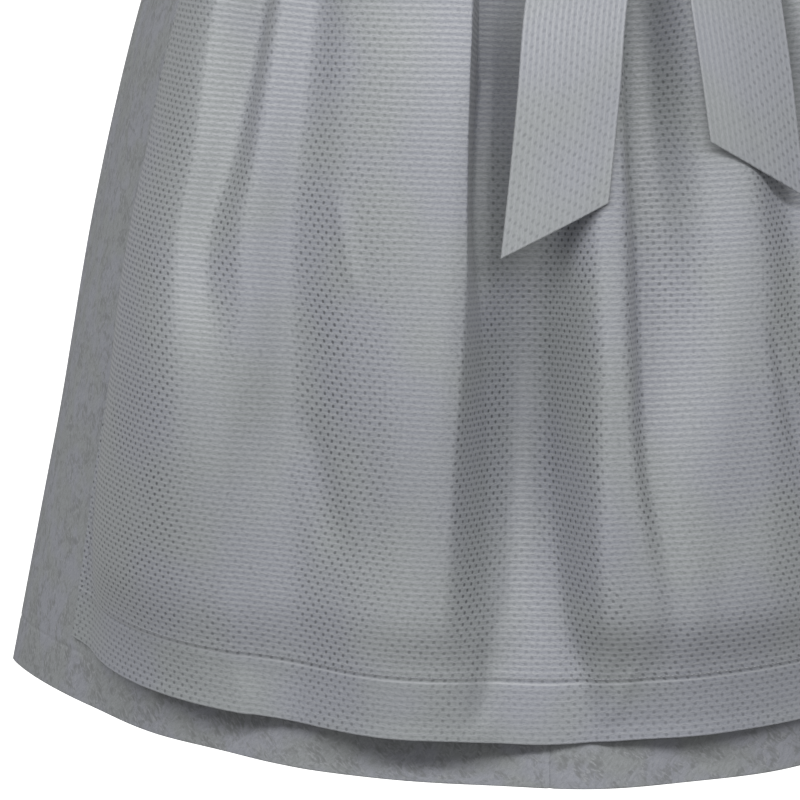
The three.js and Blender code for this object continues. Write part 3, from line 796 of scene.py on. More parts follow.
class StitchLine:
    """Runs of machine stitches, each a short rounded bar of thread laid along a path."""

    def __init__(self, length: float = 2.6, pitch: float = 3.3, thickness: float = 0.42) -> None:
        """Keeps the stitch's length, the distance between two stitches, and the thread's thickness."""
        self.length, self.pitch, self.thickness = length, pitch, thickness

    def tree(self, finish: Material) -> NodeTree:
        """The node tree that sets a stitch at each step along a path.

        Args:
            finish: the thread's material.

        Returns:
            The tree, with its sizes as named inputs.
        """
        tree = bpy.data.node_groups.new("stitch_run", "GeometryNodeTree")
        face = tree.interface
        face.new_socket("Geometry", in_out="INPUT", socket_type="NodeSocketGeometry")
        for name in ("Stitch length", "Stitch pitch", "Thread thickness"):
            face.new_socket(name, in_out="INPUT", socket_type="NodeSocketFloat")
        face.new_socket("Geometry", in_out="OUTPUT", socket_type="NodeSocketGeometry")
        given = add(tree, "NodeGroupInput").outputs
        path = add(tree, "GeometryNodeMeshToCurve", {"Mesh": given["Geometry"]})
        stepped = add(tree, "GeometryNodeResampleCurve", {"Curve": path.outputs[0],
                                                          "Length": given["Stitch pitch"]}, mode="LENGTH")
        bar = add(tree, "GeometryNodeMeshIcoSphere", {"Radius": 0.5, "Subdivisions": 1})
        tangent = add(tree, "GeometryNodeInputTangent").outputs[0]
        turned = add(tree, "FunctionNodeAlignRotationToVector", {"Vector": tangent}, axis="X")
        size = add(tree, "ShaderNodeCombineXYZ", {0: given["Stitch length"], 1: given["Thread thickness"],
                                                  2: given["Thread thickness"]}).outputs[0]
        placed = add(tree, "GeometryNodeInstanceOnPoints", {
            "Points": stepped.outputs[0], "Instance": bar.outputs[0], "Rotation": turned.outputs[0],
            "Scale": size})
        real = add(tree, "GeometryNodeRealizeInstances", {0: placed.outputs[0]})
        dressed = add(tree, "GeometryNodeSetMaterial", {"Geometry": real.outputs[0], "Material": finish})
        smooth_faces = add(tree, "GeometryNodeSetShadeSmooth", {0: dressed.outputs[0]})
        add(tree, "NodeGroupOutput", {0: smooth_faces.outputs[0]})
        return tree

    def build(self, name: str, paths: list[Array], finish: Material) -> Object:
        """Sews along paths.

        Args:
            name: the new object's name.
            paths: points in millimetres along each run.
            finish: the thread's material.

        Returns:
            One plain mesh with all the stitches.
        """
        points = np.concatenate(paths)
        edges, start = [], 0
        for path in paths:
            edges += [(start + i, start + i + 1) for i in range(len(path) - 1)]
            start += len(path)
        guide = bpy.data.meshes.new(name + "_path")
        guide.from_pydata((points * MM).tolist(), edges, [])
        holder = linked(name + "_path", guide)
        made = realised(holder, self.tree(finish), {
            "Stitch length": self.length * MM, "Stitch pitch": self.pitch * MM,
            "Thread thickness": self.thickness * MM}, name)
        bpy.data.objects.remove(holder)
        return made


def realised(holder: Object, tree: NodeTree, sizes: dict[str, float],
             name: str) -> Object:
    """Runs a node tree on an object and keeps the result as a plain mesh.

    Args:
        holder: the object that the tree reads.
        tree: the node tree.
        sizes: a value for each of the tree's named inputs.
        name: the new object's name.

    Returns:
        A new object without modifiers.
    """
    modifier = holder.modifiers.new("make", "NODES")
    modifier.node_group = tree
    sockets = {item.name: item.identifier for item in tree.interface.items_tree
               if item.item_type == "SOCKET" and item.in_out == "INPUT"}
    for key, value in sizes.items():
        modifier[sockets[key]] = value
    seen = holder.evaluated_get(bpy.context.evaluated_depsgraph_get())
    mesh = bpy.data.meshes.new_from_object(seen)
    mesh.name = name
    holder.modifiers.remove(modifier)
    return linked(name, mesh)


# ---------------------------------------------------------------- the garment's pieces


class Side(Enum):
    """The side of the dress as it is seen from in front."""

    LEFT = -1
    RIGHT = 1

    @property
    def word(self) -> str:
        """The side's name in a piece's name."""
        return self.name.lower()


class Face(Enum):
    """The front or the back of the dress."""

    FRONT = "front"
    BACK = "back"


@dataclass
class Finishes:
    """The materials, made once."""

    dobby: Material
    tie_dobby: Material
    jacquard: Material
    pewter: Material
    thread: Material


def make_finishes() -> Finishes:
    """Makes every material of the dress."""
    return Finishes(
        dobby=DobbyCloth(name="woven_dobby_cotton", ground="8F9195", rib="A2A4A8", pit="4E5054",
                         cool="8C90A0", warm="8E9691").build(),
        tie_dobby=DobbyCloth(name="woven_dobby_cotton_tie", ground="919397", rib="9FA1A5", pit="6A6C70",
                             cool="8F93A0", warm="909793", rib_share=0.7).build(),
        jacquard=JacquardCloth(name="woven_jacquard_cotton", ground="9B9DA1", light="A8AAAD", dark="767879",
                               cool="8F919C", green="888C8A").build(),
        pewter=Pewter().build(),
        thread=Thread("polyester_thread_light", "A8AAAE", "8E9094").build())


def dress_piece(piece: Object, slot: str, *nodes: str) -> Object:
    """Joins a finished piece to the dress.

    Args:
        piece: the piece.
        slot: not used.
        *nodes: the solids that it stands for.

    Returns:
        The same piece.
    """
    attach(piece, BODY)
    if nodes:
        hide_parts(*nodes)
    LOG.info("%s: %d faces", piece.name, len(piece.data.polygons))
    return piece


def cloth_piece(solid: str, slot: str, finish: Material, faces: tuple[Array, Array],
                weave: Array, **wall: Any) -> Object:
    """Makes the cloth of one solid and joins it to the dress.

    Args:
        solid: the solid that it stands for.
        slot: handed on to dress_piece, where it is not used.
        finish: the cloth's material.
        faces: its outer and its inner face.
        weave: its places on the flat cloth.
        **wall: what else a ClothWall is told.

    Returns:
        The new piece.
    """
    return dress_piece(ClothWall(f"{solid}_cloth", *faces, weave, **wall).build(finish), slot, solid)


def each_row(values: Array, grid: Array) -> Array:
    """A value for each row, spread over a grid."""
    return np.broadcast_to(values[:, None], grid.shape)


def each_column(values: Array, grid: Array) -> Array:
    """A value for each column, spread over a grid."""
    return np.broadcast_to(values[None, :], grid.shape)


@dataclass
class Skirt:
    """The gathered bell skirt, in four panels with a turned-up hem."""

    form: Form
    length: float = 700.0
    thickness: float = 1.6
    hem: float = 33.0
    flat_width: float = 590.0
    rows: int = 120
    columns: int = 96
    # the width of a panel, as a share of the skirt's half width, that its seams' grooves are measured by
    seam_reach: float = 1.4
    # how far across and down the bolt the back panels are cut
    back_weave: tuple[float, float] = (1900.0, 700.0)

    # angle at its top and foot, half width, depth, drops of its ends, rise, fall, steepness of its right side
    large_folds: tuple[Fold, ...] = (
        Fold(-98, -96, 6.5, 8, 20, 600, 0.2, 0.5), Fold(-112, -109, 7, 13, 10, 900, 0.2, 0.3),
        Fold(-127, -124, 7.5, 12, 20, 900, 0.15, 0.3, 0.7), Fold(-140, -142, 6, 10, 10, 640, 0.2, 0.5),
        Fold(-153, -157, 7.5, 14, 10, 900, 0.2, 0.3), Fold(-168, -171, 6.5, 12, 20, 900, 0.2, 0.3),
        Fold(176, 174, 6.5, 10, 10, 700, 0.2, 0.5), Fold(162, 159, 7.5, 14, 10, 900, 0.15, 0.3, 0.7),
        Fold(148, 144, 6.5, 11, 20, 900, 0.2, 0.3), Fold(134, 131, 6, 9, 10, 620, 0.2, 0.5),
        Fold(121, 117, 7.5, 13, 10, 900, 0.2, 0.3), Fold(105, 102, 6.5, 10, 20, 900, 0.2, 0.3),
        Fold(-4, -3, 8.5, -30, 60, 670, 0.6, 0.35), Fold(13, 12, 6, -12, 60, 380, 0.2, 0.6),
        Fold(-46, -44, 12, 4, 420, 900, 0.4, 0.2), Fold(-14, -12, 11, 4, 420, 900, 0.4, 0.2),
        Fold(22, 24, 12, 4, 420, 900, 0.4, 0.2), Fold(52, 54, 12, 4, 420, 900, 0.4, 0.2))
    # where the skirt falls back behind the apron near its hem, and how far the hem sags there for each mm
    hem_hollows: tuple[Fold, ...] = (
        Fold(-10, -10, 17, -20, 540, 760, 0.5, 0.3), Fold(-37, -37, 8, -4, 580, 740, 0.5, 0.5),
        Fold(16, 16, 9, -5, 580, 740, 0.5, 0.5))
    sag: float = 0.15
    gathers: tuple[Fold, ...] = (
        *Gathers(-180, -70, 40, (1.2, 3.4), (30, 170), 4, 11).folds(),
        *Gathers(70, 180, 40, (1.2, 3.4), (30, 170), 4, 12).folds())

    def base(self, angle: Array, drop: Array) -> Array:
        """The outer face's lift with the large folds alone, on which the apron is laid."""
        return self.thickness + relief(self.large_folds, angle, drop)

    def outer(self, angle: Array, drop: Array) -> Array:
        """The outer face's lift with every gather and the hem's turning."""
        groove = -0.55 * bump((drop - (self.length - self.hem)) / 2.2)
        pucker = (0.35 * bump((drop - self.length + self.hem - 5) / 12)
                  * np.sin(angle * 3.1) * np.sin(angle * 1.27 + 0.6))
        return (self.base(angle, drop) + relief(self.gathers, angle, drop)
                + relief(self.hem_hollows, angle, drop) + groove + pucker)

    def panel(self, side: Side, face: Face, finish: Material) -> Object:
        """One quarter of the skirt, from its centre seam to its side seam."""
        drops = spaced(0.15, self.length, self.rows)
        drops = with_detail(drops, self.length - self.hem, 3.0, 1.0)
        shares = spaced(0.0, 1.0, self.columns, 0.001, 0.0025, 0.0045)
        drop, share = np.meshgrid(drops, shares, indexing="ij")
        away = 90.0 * share
        angle = side.value * (away if face is Face.FRONT else 180 - away)
        lift = self.outer(angle, drop)
        to_seam = (0.5 - np.abs(share - 0.5)) * self.form.skirt.read(drop, "half") * self.seam_reach
        lift = lift + self.form.seam_groove(to_seam)
        low = drop - self.sag * relief(self.hem_hollows, angle, drop)
        faces = self.form.faces(angle, -low, lift, self.thickness)
        down = each_row(-down_the_cloth(faces[0]), drop)
        weave = np.stack([side.value * share * self.flat_width, down], -1)
        if face is Face.BACK:
            weave = weave + np.array(self.back_weave)
        piece = cloth_piece(f"skirt_{face.value}_{side.word}", "jacquard", finish, faces, weave,
                            bulge=(0.0, 0.0, 0.5, 0.0), doubled=smooth((drop - self.length + self.hem) / 2))
        return piece


@dataclass
class Apron:
    """The apron: its panel, gathered on to a waistband, and its hems."""

    form: Form
    skirt: Skirt
    length: float = 666.0
    side_rise: float = 10.0
    top: float = 12.3
    thickness: float = 1.4
    edge_top: float = 67.0
    edge_foot: float = 62.0
    hem: float = 40.0
    side_hem: float = 9.0
    flat_width: float = 870.0
    # how far the hem sags at the middle
    sag: float = 3.0
    rows: int = 182
    columns: int = 222
    # where the close columns at the panel's edge lie, how far they go and their step, as shares across
    fine_columns: tuple[float, float, float] = (-0.138, 0.031, 0.0027)

    folds: HangingFolds = HangingFolds(
        (60, 200, 280, 345, 415, 480, 545, 580, 605, 630, 655), (
            FoldLine("left edge", (-66.6, -65.5, -65, -64.6, -64, -63.6, -63, -62.6, -62.4, -62.2, -62),
                     (0,) * 11),
            FoldLine("left flank", (-60, -56, -52, -50.5, -50, -49.5, -49.5, -49.5, -49.5, -49, -49),
                     (4, 16, 28, 37, 40, 34, 27, 23, 20, 17, 15)),
            FoldLine("left ridge", (-50, -47, -43.2, -42, -39.4, -38, -38, -37.8, -37.4, -37, -36),
                     (10, 27, 42, 52, 60, 54, 43, 37, 33, 29, 25)),
            FoldLine("pocket", (-44, -41.4, -38.8, -38.6, -34.8, -33, -33, -32.5, -32, -32, -31),
                     (2, 6, 26, 41, 48, 43, 35, 30, 27, 24, 21)),
            FoldLine("second ridge", (-39, -36, -34.4, -34, -32, -32.3, -32, -31.4, -31, -31, -30),
                     (8, 27, 39, 46, 43, 37, 29, 24, 21, 18, 15)),
            FoldLine("left hollow", (-34, -31.5, -30, -29.2, -28, -27.2, -26.2, -25.2, -24.4, -24, -23.6),
                     (4, 17, 25, 26, 22, 16, 12, 10, 8, 7, 6)),
            FoldLine("panel shoulder",
                     (-28, -25.5, -23.5, -22, -20.4, -18.6, -17.8, -17.8, -17.8, -17.8, -17.8),
                     (10, 28, 35, 38, 36, 29, 21, 17, 13, 10, 7)),
            FoldLine("panel crest", (-18, -16.6, -15.6, -15.2, -15, -14.6, -14.4, -14.6, -15, -15, -15),
                     (12, 33, 40, 43, 41, 34, 24, 18, 13, 9, 6)),
            FoldLine("panel edge", (-12, -9.7, -9.2, -9.0, -9.2, -9.8, -10.2, -10.4, -10.6, -10.6, -10.6),
                     (10, 33, 41, 43, 40, 32, 21, 15, 10, 6, 2)),
            FoldLine("valley", (-10.2, -8.8, -8.4, -8.1, -7.6, -7.0, -6.6, -6.4, -6.2, -6.2, -6.2),
                     (0, -17, 8, 23, 6, -4, -8, -8, -6, -5, -4)),
            FoldLine("valley ridge", (-5, -5, -4.8, -4.7, -4.5, -4, -2.8, -2.3, -2, -2, -2),
                     (0, -17, 5, 18, -4, -12, -15, -14, -13, -12, -12)),
            FoldLine("second valley", (0, -0.4, -0.4, -0.4, -0.4, -0.3, 0.2, 0.6, 0.8, 1, 1),
                     (0, -14, 1, 11, -7, -13, -16, -16, -15, -14, -14)),
            FoldLine("middle fold", (7, 6.4, 5.8, 5.2, 5.2, 4.9, 4.9, 5.4, 6.2, 6.4, 6.4),
                     (10, 36, 38, 40, 43, 38, 32, 28, 19, 10, 4)),
            FoldLine("middle fold side", (8.4, 7.9, 7.4, 7.2, 7, 7.3, 8.5, 9, 8.4, 8.2, 8),
                     (10, 34, 37, 39, 42, 38, 32, 28, 20, 11, 5)),
            FoldLine("dark crease", (10.8, 10.6, 10.2, 10.1, 9.6, 9.3, 10.8, 11.4, 11, 10.6, 10.4),
                     (0, -7, -6, 0, 12, 22, 26, 24, 18, 11, 5)),
            FoldLine("third fold", (15, 14.2, 13.2, 13.1, 12.3, 11.6, 13, 13.4, 13, 13, 13),
                     (0, -6, -4, 4, 16, 25, 29, 26, 19, 11, 6)),
            FoldLine("third hollow", (19, 18.2, 18.2, 18.4, 18.1, 17, 16.4, 16.4, 16.4, 16.4, 16.4),
                     (6, 21, 19, 26, 31, 31, 27, 23, 16, 9, 5)),
            FoldLine("fourth fold", (25, 23, 22.8, 22.8, 21.9, 21, 20.4, 20.4, 20.4, 20.4, 20.4),
                     (8, 24, 28, 31, 32, 31, 28, 23, 16, 10, 6)),
            FoldLine("fourth hollow", (31, 29.4, 29.2, 28.8, 28.2, 28, 28, 28, 28, 28, 28),
                     (3, -5, 8, 17, 21, 21, 19, 17, 12, 8, 5)),
            FoldLine("fifth fold", (38, 36.2, 36, 36, 36, 36, 36, 36, 36, 36, 36),
                     (6, 25, 29, 30, 29, 26, 21, 16, 10, 6, 4)),
            FoldLine("fifth hollow", (44, 43.4, 43, 43, 43, 43, 43, 43, 43, 43, 43),
                     (0, 7, 11, 13, 13, 12, 9, 6, 4, 1, 0)),
            FoldLine("right ridge", (53, 52, 51, 50, 50, 49, 49, 49, 49, 49, 49),
                     (0, 20, 28, 32, 32, 25, 14, 9, 5, 2, 0)),
            FoldLine("right edge", (70, 70, 70, 70, 69, 68, 67, 66, 65, 65, 65), (0,) * 11)))
    creases: tuple[Fold, ...] = (
        Fold(-27, -20.5, 3.4, -2.2, 440, 560), Fold(23, 26, 1.6, -3, 380, 500),
        Fold(-24, -20, 1.6, 1.6, 300, 380), Fold(5.5, 2.5, 1.3, 2.2, 600, 664, 0.3, 0.3),
        Fold(8.5, 5.5, 1.2, 1.6, 606, 660, 0.3, 0.3), Fold(-5.0, -7.5, 2.0, -2.5, 560, 664, 0.3, 0.2))
    # where a fold's edge hangs over the hollow beside it; these depths are in degrees across the cloth
    overhangs: tuple[Fold, ...] = (Fold(-9.4, -7.8, 1.0, -1.1, 90, 410, 0.15, 0.4),)
    # how far it hangs clear of the skirt at the waist and at the foot, and how much more in between
    clear_top: float = 1.4
    clear_foot: float = 7.0
    clear_between: float = 8.0
    # the least distance from the skirt, and how softly the cloth comes to rest at it
    least: float = 1.3
    softness: float = 1.2
    # how far the hem stands off the skirt
    hem_stand: Table = Table(("angle", "gap"), (
        (-62, 2), (-50, 2), (-43, 1.5), (-37, 1.5), (-31, 1.5), (-27, 4), (-22, 13), (-15, 18), (-8, 11),
        (-2, 4), (3, 3), (8, 5), (12, 9), (16, 11), (20, 7), (26, 6), (35, 11), (50, 6), (62, 3)))
    swells: Unevenness = Unevenness(2.2, 45.0, 240.0, 8)
    gathers: tuple[Fold, ...] = Gathers(-66, 66, 58, (0.8, 2.6), (40, 190), 12, 5).folds()

    def hangs_free(self, drop: Array) -> Array:
        """The share in which the cloth hangs free: 1 between the waist and the hem, 0 at both."""
        return smooth((drop - 60.0) / 120.0) * smooth((640.0 - drop) / 60.0)

    def gap(self, angle: Array, drop: Array) -> Array:
        """How far the apron hangs clear of the skirt: a little at the waist, most in waves at its hem."""
        hem = self.hem_stand.read(angle, "gap")
        inside = smooth((lerp(self.edge_top, self.edge_foot, drop / self.length) - np.abs(angle)) / 9.0)
        whole = lerp(self.clear_top, self.clear_foot, smooth(drop / self.length))
        more = whole - self.clear_top + self.clear_between * self.hangs_free(drop)
        return (self.clear_top + more * inside
                + (hem - self.clear_foot) * smooth((drop - 520.0) / 130.0))

    def outer(self, angle: Array, drop: Array) -> Array:
        """The lift of the apron's outer face."""
        hem_line = self.length - self.hem
        groove = -0.7 * bump((drop - hem_line) / 2.4) + 0.35 * bump((drop - hem_line + 4.0) / 3.0)
        pucker = 0.3 * bump((drop - hem_line) / 14) * np.sin(angle * 4.3) * np.sin(angle * 1.7 + 1.1)
        swell = self.swells.lift(angle, drop) * (0.35 + 0.65 * self.hangs_free(drop))
        hollow = -1.5 * bump((drop - 613.0) / 22.0) * smooth((angle + 20.0) / 8.0)
        clear = (self.gap(angle, drop) + hollow + self.folds.lift(angle, drop)
                 + relief(self.creases, angle, drop) + swell + relief(self.gathers, angle, drop))
        clear = self.softness * np.logaddexp(clear / self.softness, self.least / self.softness)
        return self.skirt.base(angle, drop) + clear + self.thickness + groove + pucker

    def surface(self, angle: Array, drop: Array, lift: Array) -> Array:
        """Points of the cloth, whose fold hangs over the hollow beside it and whose hem sags."""
        sag = self.sag * bump((angle + 1.0) / 11.0) * smooth((drop - 540.0) / 120.0)
        return self.form.place(angle + relief(self.overhangs, angle, drop), -drop - sag, lift)

    def grid(self, rows: Array, across: Array) -> tuple[Array, Array]:
        """The angle and drop of places given by their row down the cloth and share across it."""
        share = rows / self.length
        angle = across * lerp(self.edge_top, self.edge_foot, share)
        return angle, rows - self.side_rise * share ** 6 * across ** 4

    def openness(self, outer: Array, angle: Array, row: Array) -> Array:
        """Painted shade in the weave's pits: on fold flanks and undersides, and in patches low on the apron.
        """
        flanks = turned_aside(outer, 0.14, 0.85, 0.6) * lerp(0.66, 1.0, smooth((row - 150.0) / 230.0))
        edge_of_panel = bump((angle + 8.4) / 1.4) * smooth((450.0 - row) / 80.0)
        tongue = 584.0 - 1.6 * np.maximum(angle - 8.3, 0.0) - 13.0 * np.maximum(8.3 - angle, 0.0)
        # All painted shade in the pits: the folds' flanks and undersides, more towards the hem, a patch right
        # of the middle, the hollow below a fold's rounded end, and the valley near the hem
        return np.maximum.reduce([
            flanks * (1 - 0.75 * edge_of_panel),
            0.22 * smooth((row - 420.0) / 160.0),
            0.6 * bump((angle - 13.5) / 7.0) * bump((row - 335.0) / 110.0),
            0.62 * smooth((row - tongue) / 18.0) * smooth((angle + 0.5) / 2.5),
            0.6 * smooth((row - 540.0) / 60.0) * bump((angle + 9.5) / 5.5)])

    def panel(self, finish: Material) -> Object:
        """The gathered panel with its turned hems."""
        rows = with_detail(spaced(self.top, self.length, self.rows), self.length - self.hem, 4.0, 1.0)
        columns = with_detail(spaced(-1.0, 1.0, self.columns, 0.0018), *self.fine_columns)
        row, across = np.meshgrid(rows, columns, indexing="ij")
        angle, drop = self.grid(row, across)
        lift = self.outer(angle, drop)
        side = (1 - np.abs(across)) * self.flat_width / 2
        lift = lift + 0.4 * smooth((self.side_hem + 1 - side) / 2) - 0.25 * bump((side - self.side_hem) / 2)
        outer = self.surface(angle, drop, lift)
        inner = self.surface(angle, drop, lift - self.thickness)
        weave = np.stack([across_the_cloth(outer, 12), each_row(-down_the_cloth(outer), row)], -1)
        hem_share = smooth((row - self.length + self.hem) / 2)
        weave[..., 0] += 2.6 * hem_share
        piece = cloth_piece("apron_panel", "dobby", finish, (outer, inner), weave,
                            openness=self.openness(outer, angle, row), doubled=hem_share)
        return piece

    def hem_path(self, above: float, lift: float, margin: float = 0.012) -> Array:
        """Points along the hem, a length above its edge."""
        across = np.linspace(-1 + margin, 1 - margin, 420)
        angle, drop = self.grid(np.full(across.shape, self.length - above), across)
        return self.surface(angle, drop, self.outer(angle, drop) + lift)

    def side_path(self, side: Side, inside: float, lift: float) -> Array:
        """Points down one side, a length inside its edge."""
        rows = np.linspace(self.top + 8, self.length - 6, 300)
        across = np.full(rows.shape, side.value * (1 - 2 * inside / self.flat_width))
        angle, drop = self.grid(rows, across)
        return self.form.place(angle, -drop, self.outer(angle, drop) + 0.3 + lift)

    def stitches(self, finish: Material) -> Object:
        """The stitches of the hem and of both sides."""
        paths = [self.hem_path(self.hem + 2.6, 0.12)]
        paths += [self.side_path(side, self.side_hem, 0.1) for side in Side]
        sewn = StitchLine(length=2.9, pitch=3.2, thickness=0.5).build("apron_stitches", paths, finish)
        return dress_piece(sewn, "dobby")


@dataclass
class Waist:
    """The waistband and the two ties that are wound from it round the waist."""

    form: Form
    low: float = -12.0
    high: float = 26.0
    edge: float = 70.0
    lift: float = 2.8
    thickness: float = 2.0
    over_lap: float = 3.0
    lap_width: float = 26.0
    tie: float = 1.6
    tie_half: float = 14.0
    # half the tie's width before it is folded
    flat_half: float = 35.0
    centre: float = 8.0
    inner_lift: float = 2.8
    outer_lift: float = 6.4
    knot_angle: float = 27.0
    crease_count: int = 16
    crease_limit: float = 1.1

    def bulge(self, angle: Array) -> Array:
        """How far what lies here is pushed out by the bodice's lapped front edge."""
        return self.over_lap * bump(angle / self.lap_width)

    def band(self, finish: Material) -> Object:
        """The waistband."""
        height, angle = np.meshgrid(spaced(self.low, self.high, 16, 0.6),
                                    spaced(-self.edge, self.edge, 180, 0.4), indexing="ij")
        pull = 0.35 * np.sin(angle * 0.9 + height * 0.05) * bump((height + 12) / 26)
        lift = self.lift + self.bulge(angle) + self.thickness + pull
        faces = self.form.faces(angle, height, lift, self.thickness)
        along = along_the_cloth(faces[0])
        weave = np.stack([each_column(along, angle), height], -1)
        piece = cloth_piece("apron_waistband", "dobby", finish, faces, weave, bulge=(0.5, 0.0, 0.5, 0.0))
        return piece

    def wrap(self, side: Side, shift: float, seed: int, finish: Material) -> Object:
        """One tie, from its end of the waistband round the back to the knot.

        Args:
            side: the side that it starts on.
            shift: how far it passes above or below the other tie where they cross.
            seed: fixes where its creases lie.
            finish: the cloth's material.

        Returns:
            The piece.
        """
        turns = spaced(self.edge + 0.4, 360 + side.value * self.knot_angle - 1.2, 300, 0.3)
        share, turn = np.meshgrid(spaced(-1.0, 1.0, 14, 0.04), turns, indexing="ij")
        crossing = bump((turn - 180) / 46)
        layer = smooth((turn - 172) / 16)
        height = self.centre + shift * crossing + self.tie_half * share
        angle = side.value * turn
        angle = angle - 360.0 * np.round(angle / 360.0)
        chance = np.random.default_rng(seed)
        creases = np.zeros(turn.shape)
        for _ in range(self.crease_count):
            middle, reach = chance.uniform(80, 330), chance.uniform(14, 44)
            line = chance.uniform(-0.7, 0.7) + chance.uniform(-0.5, 0.5) * (turn - middle) / reach
            creases += chance.uniform(0.35, 0.9) * bump((turn - middle) / reach) * bump((share - line) / 0.3)
        lift = (lerp(self.inner_lift, self.outer_lift, layer) + self.bulge(angle) + self.tie
                + np.minimum(creases, self.crease_limit))
        faces = self.form.faces(angle, height, lift, self.tie)
        along = along_the_cloth(faces[0])
        weave = np.stack([each_column(along, angle), self.flat_half * share], -1)
        piece = cloth_piece(f"tie_wrap_{side.word}", "dobby", finish, faces, weave,
                            bulge=(0.5, 0.0, 0.5, 0.0))
        return piece


@dataclass
class Bow:
    """The bow: its knot, two loops and two tails."""

    form: Form
    angle: float = 27.0
    height: float = 6.0
    knot_across: float = 19.0
    knot_tall: float = 24.0
    knot_deep: float = 12.0
    knot_lift: float = 20.8
    tie: float = 1.6
    tie_width: float = 70.0
    reach: float = 108.0
    start: float = 19.1
    belly: float = 14.0
    slant: float = 33.0
    near: float = 13.0
    far: float = 34.0
    lift: float = 18.0
    depth: float = 12.0

    left_tail: Table = Table(("drop", "middle", "width", "lift"), (
        (19.2, 23.5, 0.2, 20), (60, 14.2, 0.66, 13), (120, 6.9, 0.94, 18), (175, 3.1, 0.885, 20),
        (245, 1.5, 0.86, 20), (345, -0.4, 0.83, 19)))
    right_tail: Table = Table(("drop", "middle", "width", "lift"), (
        (21.6, 31.3, 0.2, 20), (60, 29.6, 0.66, 13), (120, 26.2, 0.96, 18), (175, 24.3, 0.93, 20),
        (240, 23.8, 0.89, 20), (315, 23.8, 0.85, 19)))
    left_cut: tuple[float, float] = (344.5, 308.5)
    right_cut: tuple[float, float] = (272.0, 312.0)
    # over how many rows each way the apron's folds are evened out where a tail lies on them
    bed_rows: int = 8

    def knot(self, finish: Material) -> Object:
        """The knot, wrapped by the tie in uneven upright folds."""
        rows, columns = 48, 72
        rise = np.linspace(-np.pi / 2, np.pi / 2, rows + 1)[1:-1]
        turn = np.linspace(0, 2 * np.pi, columns, endpoint=False)
        up, round_ = np.meshgrid(rise, turn, indexing="ij")

        def squared(value: Array) -> Array:
            """Squares off a sine, as a wrapped knot is squarer than a ball."""
            return np.sign(value) * np.abs(value) ** 0.72

        across = squared(np.cos(up)) * squared(np.cos(round_))
        deep = squared(np.cos(up)) * squared(np.sin(round_))
        tall = squared(np.sin(up))
        wraps = 0.9 * np.sin(across * 7.3 + 0.9 * tall) + 0.5 * np.sin(across * 12.1 - 1.3 * tall + 1.0)
        front = smooth(deep * 1.6)
        outward = self.knot_deep * deep + wraps * front
        x = self.knot_across * across
        points = self.form.place(
            self.angle + self.form.degrees_for(x, self.angle, 0.0, self.knot_lift),
            self.height + self.knot_tall * tall, self.knot_lift + outward)
        ends = self.height + self.knot_tall * np.array([-1.0, 1.0])
        tips = self.form.place(np.full(2, self.angle), ends, np.full(2, self.knot_lift))
        every = np.concatenate([points.reshape(-1, 3), tips])
        faces = stacked_rings(rows - 1, columns)
        if faces_inwards(every, np.array(faces[:-2 * columns])):
            faces = [face[::-1] for face in faces]
        obj = new_object("bow_knot_cloth", every, faces, finish)
        flat = np.stack([self.knot_tall * tall, self.knot_across * across * 1.6], -1).reshape(-1, 2)
        tip_places = [[-self.knot_tall, 0.0], [self.knot_tall, 0.0]]
        ClothWall.lay_weave(obj.data, np.concatenate([flat, tip_places]))
        return dress_piece(obj, "dobby", "bow_knot")

    def loop(self, side: Side, finish: Material) -> Object:
        """One loop: a band that runs slanting down from the knot, turns and comes back over itself."""
        slant = math.radians(self.slant)
        turn, share_across = np.meshgrid(np.linspace(0, 2 * np.pi, 150), spaced(-1.0, 1.0, 34, 0.02))
        share = (1 - np.cos(turn)) / 2
        pleats = (0.55 * np.cos(share_across * 11.0 + 0.7) + 0.45 * np.cos(share_across * 6.3 - 1.2))
        pleats = pleats * (1 - smooth(share / 0.75)) * smooth(share / 0.04) * 1.9
        sag = 1.6 * bump((share - 0.62) / 0.3) * bump((share_across - 0.15) / 0.8)
        faces = []
        for inset in (0.0, self.tie):
            shorter = inset * np.sin(turn / 2)
            out = self.start + self.reach * share - shorter
            across = lerp(self.near, self.far, smooth(share * 1.7)) * share_across
            along = self.start + (out - self.start) * math.cos(slant) + across * math.sin(slant) * share
            height = self.height - (out - self.start) * math.sin(slant) + across * np.cos(slant * share)
            belly = self.belly * (0.8 * share - np.sin(turn) * np.sqrt(share))
            lift = self.lift + self.depth * turn / (2 * np.pi) + belly + inset * np.cos(turn / 2)
            lift = lift + pleats - sag * np.where(turn > np.pi, 1.0, -0.4)
            angle = self.angle + side.value * self.form.degrees_for(along, self.angle, height, self.lift)
            faces.append(self.form.place(angle, height, lift))
        along = along_the_cloth(faces[0])
        weave = np.stack([each_column(along, turn), self.tie_width / 2 * share_across], -1)
        piece = cloth_piece(f"bow_loop_{side.word}", "dobby", finish, tuple(faces), weave,
                            bulge=(0.5, 0.0, 0.5, 0.0))
        return piece

    def bed(self, apron: Apron, angle: Array, drop: Array) -> Array:
        """The lift at which a tail lies on the apron's highest folds, evened out along its length."""
        highest = np.max(apron.outer(angle, drop), axis=1) + 1.0
        padded = np.pad(highest, self.bed_rows, mode="edge")
        count = 2 * self.bed_rows + 1
        return np.convolve(padded, np.ones(count) / count, mode="valid")[:, None] + 1.2

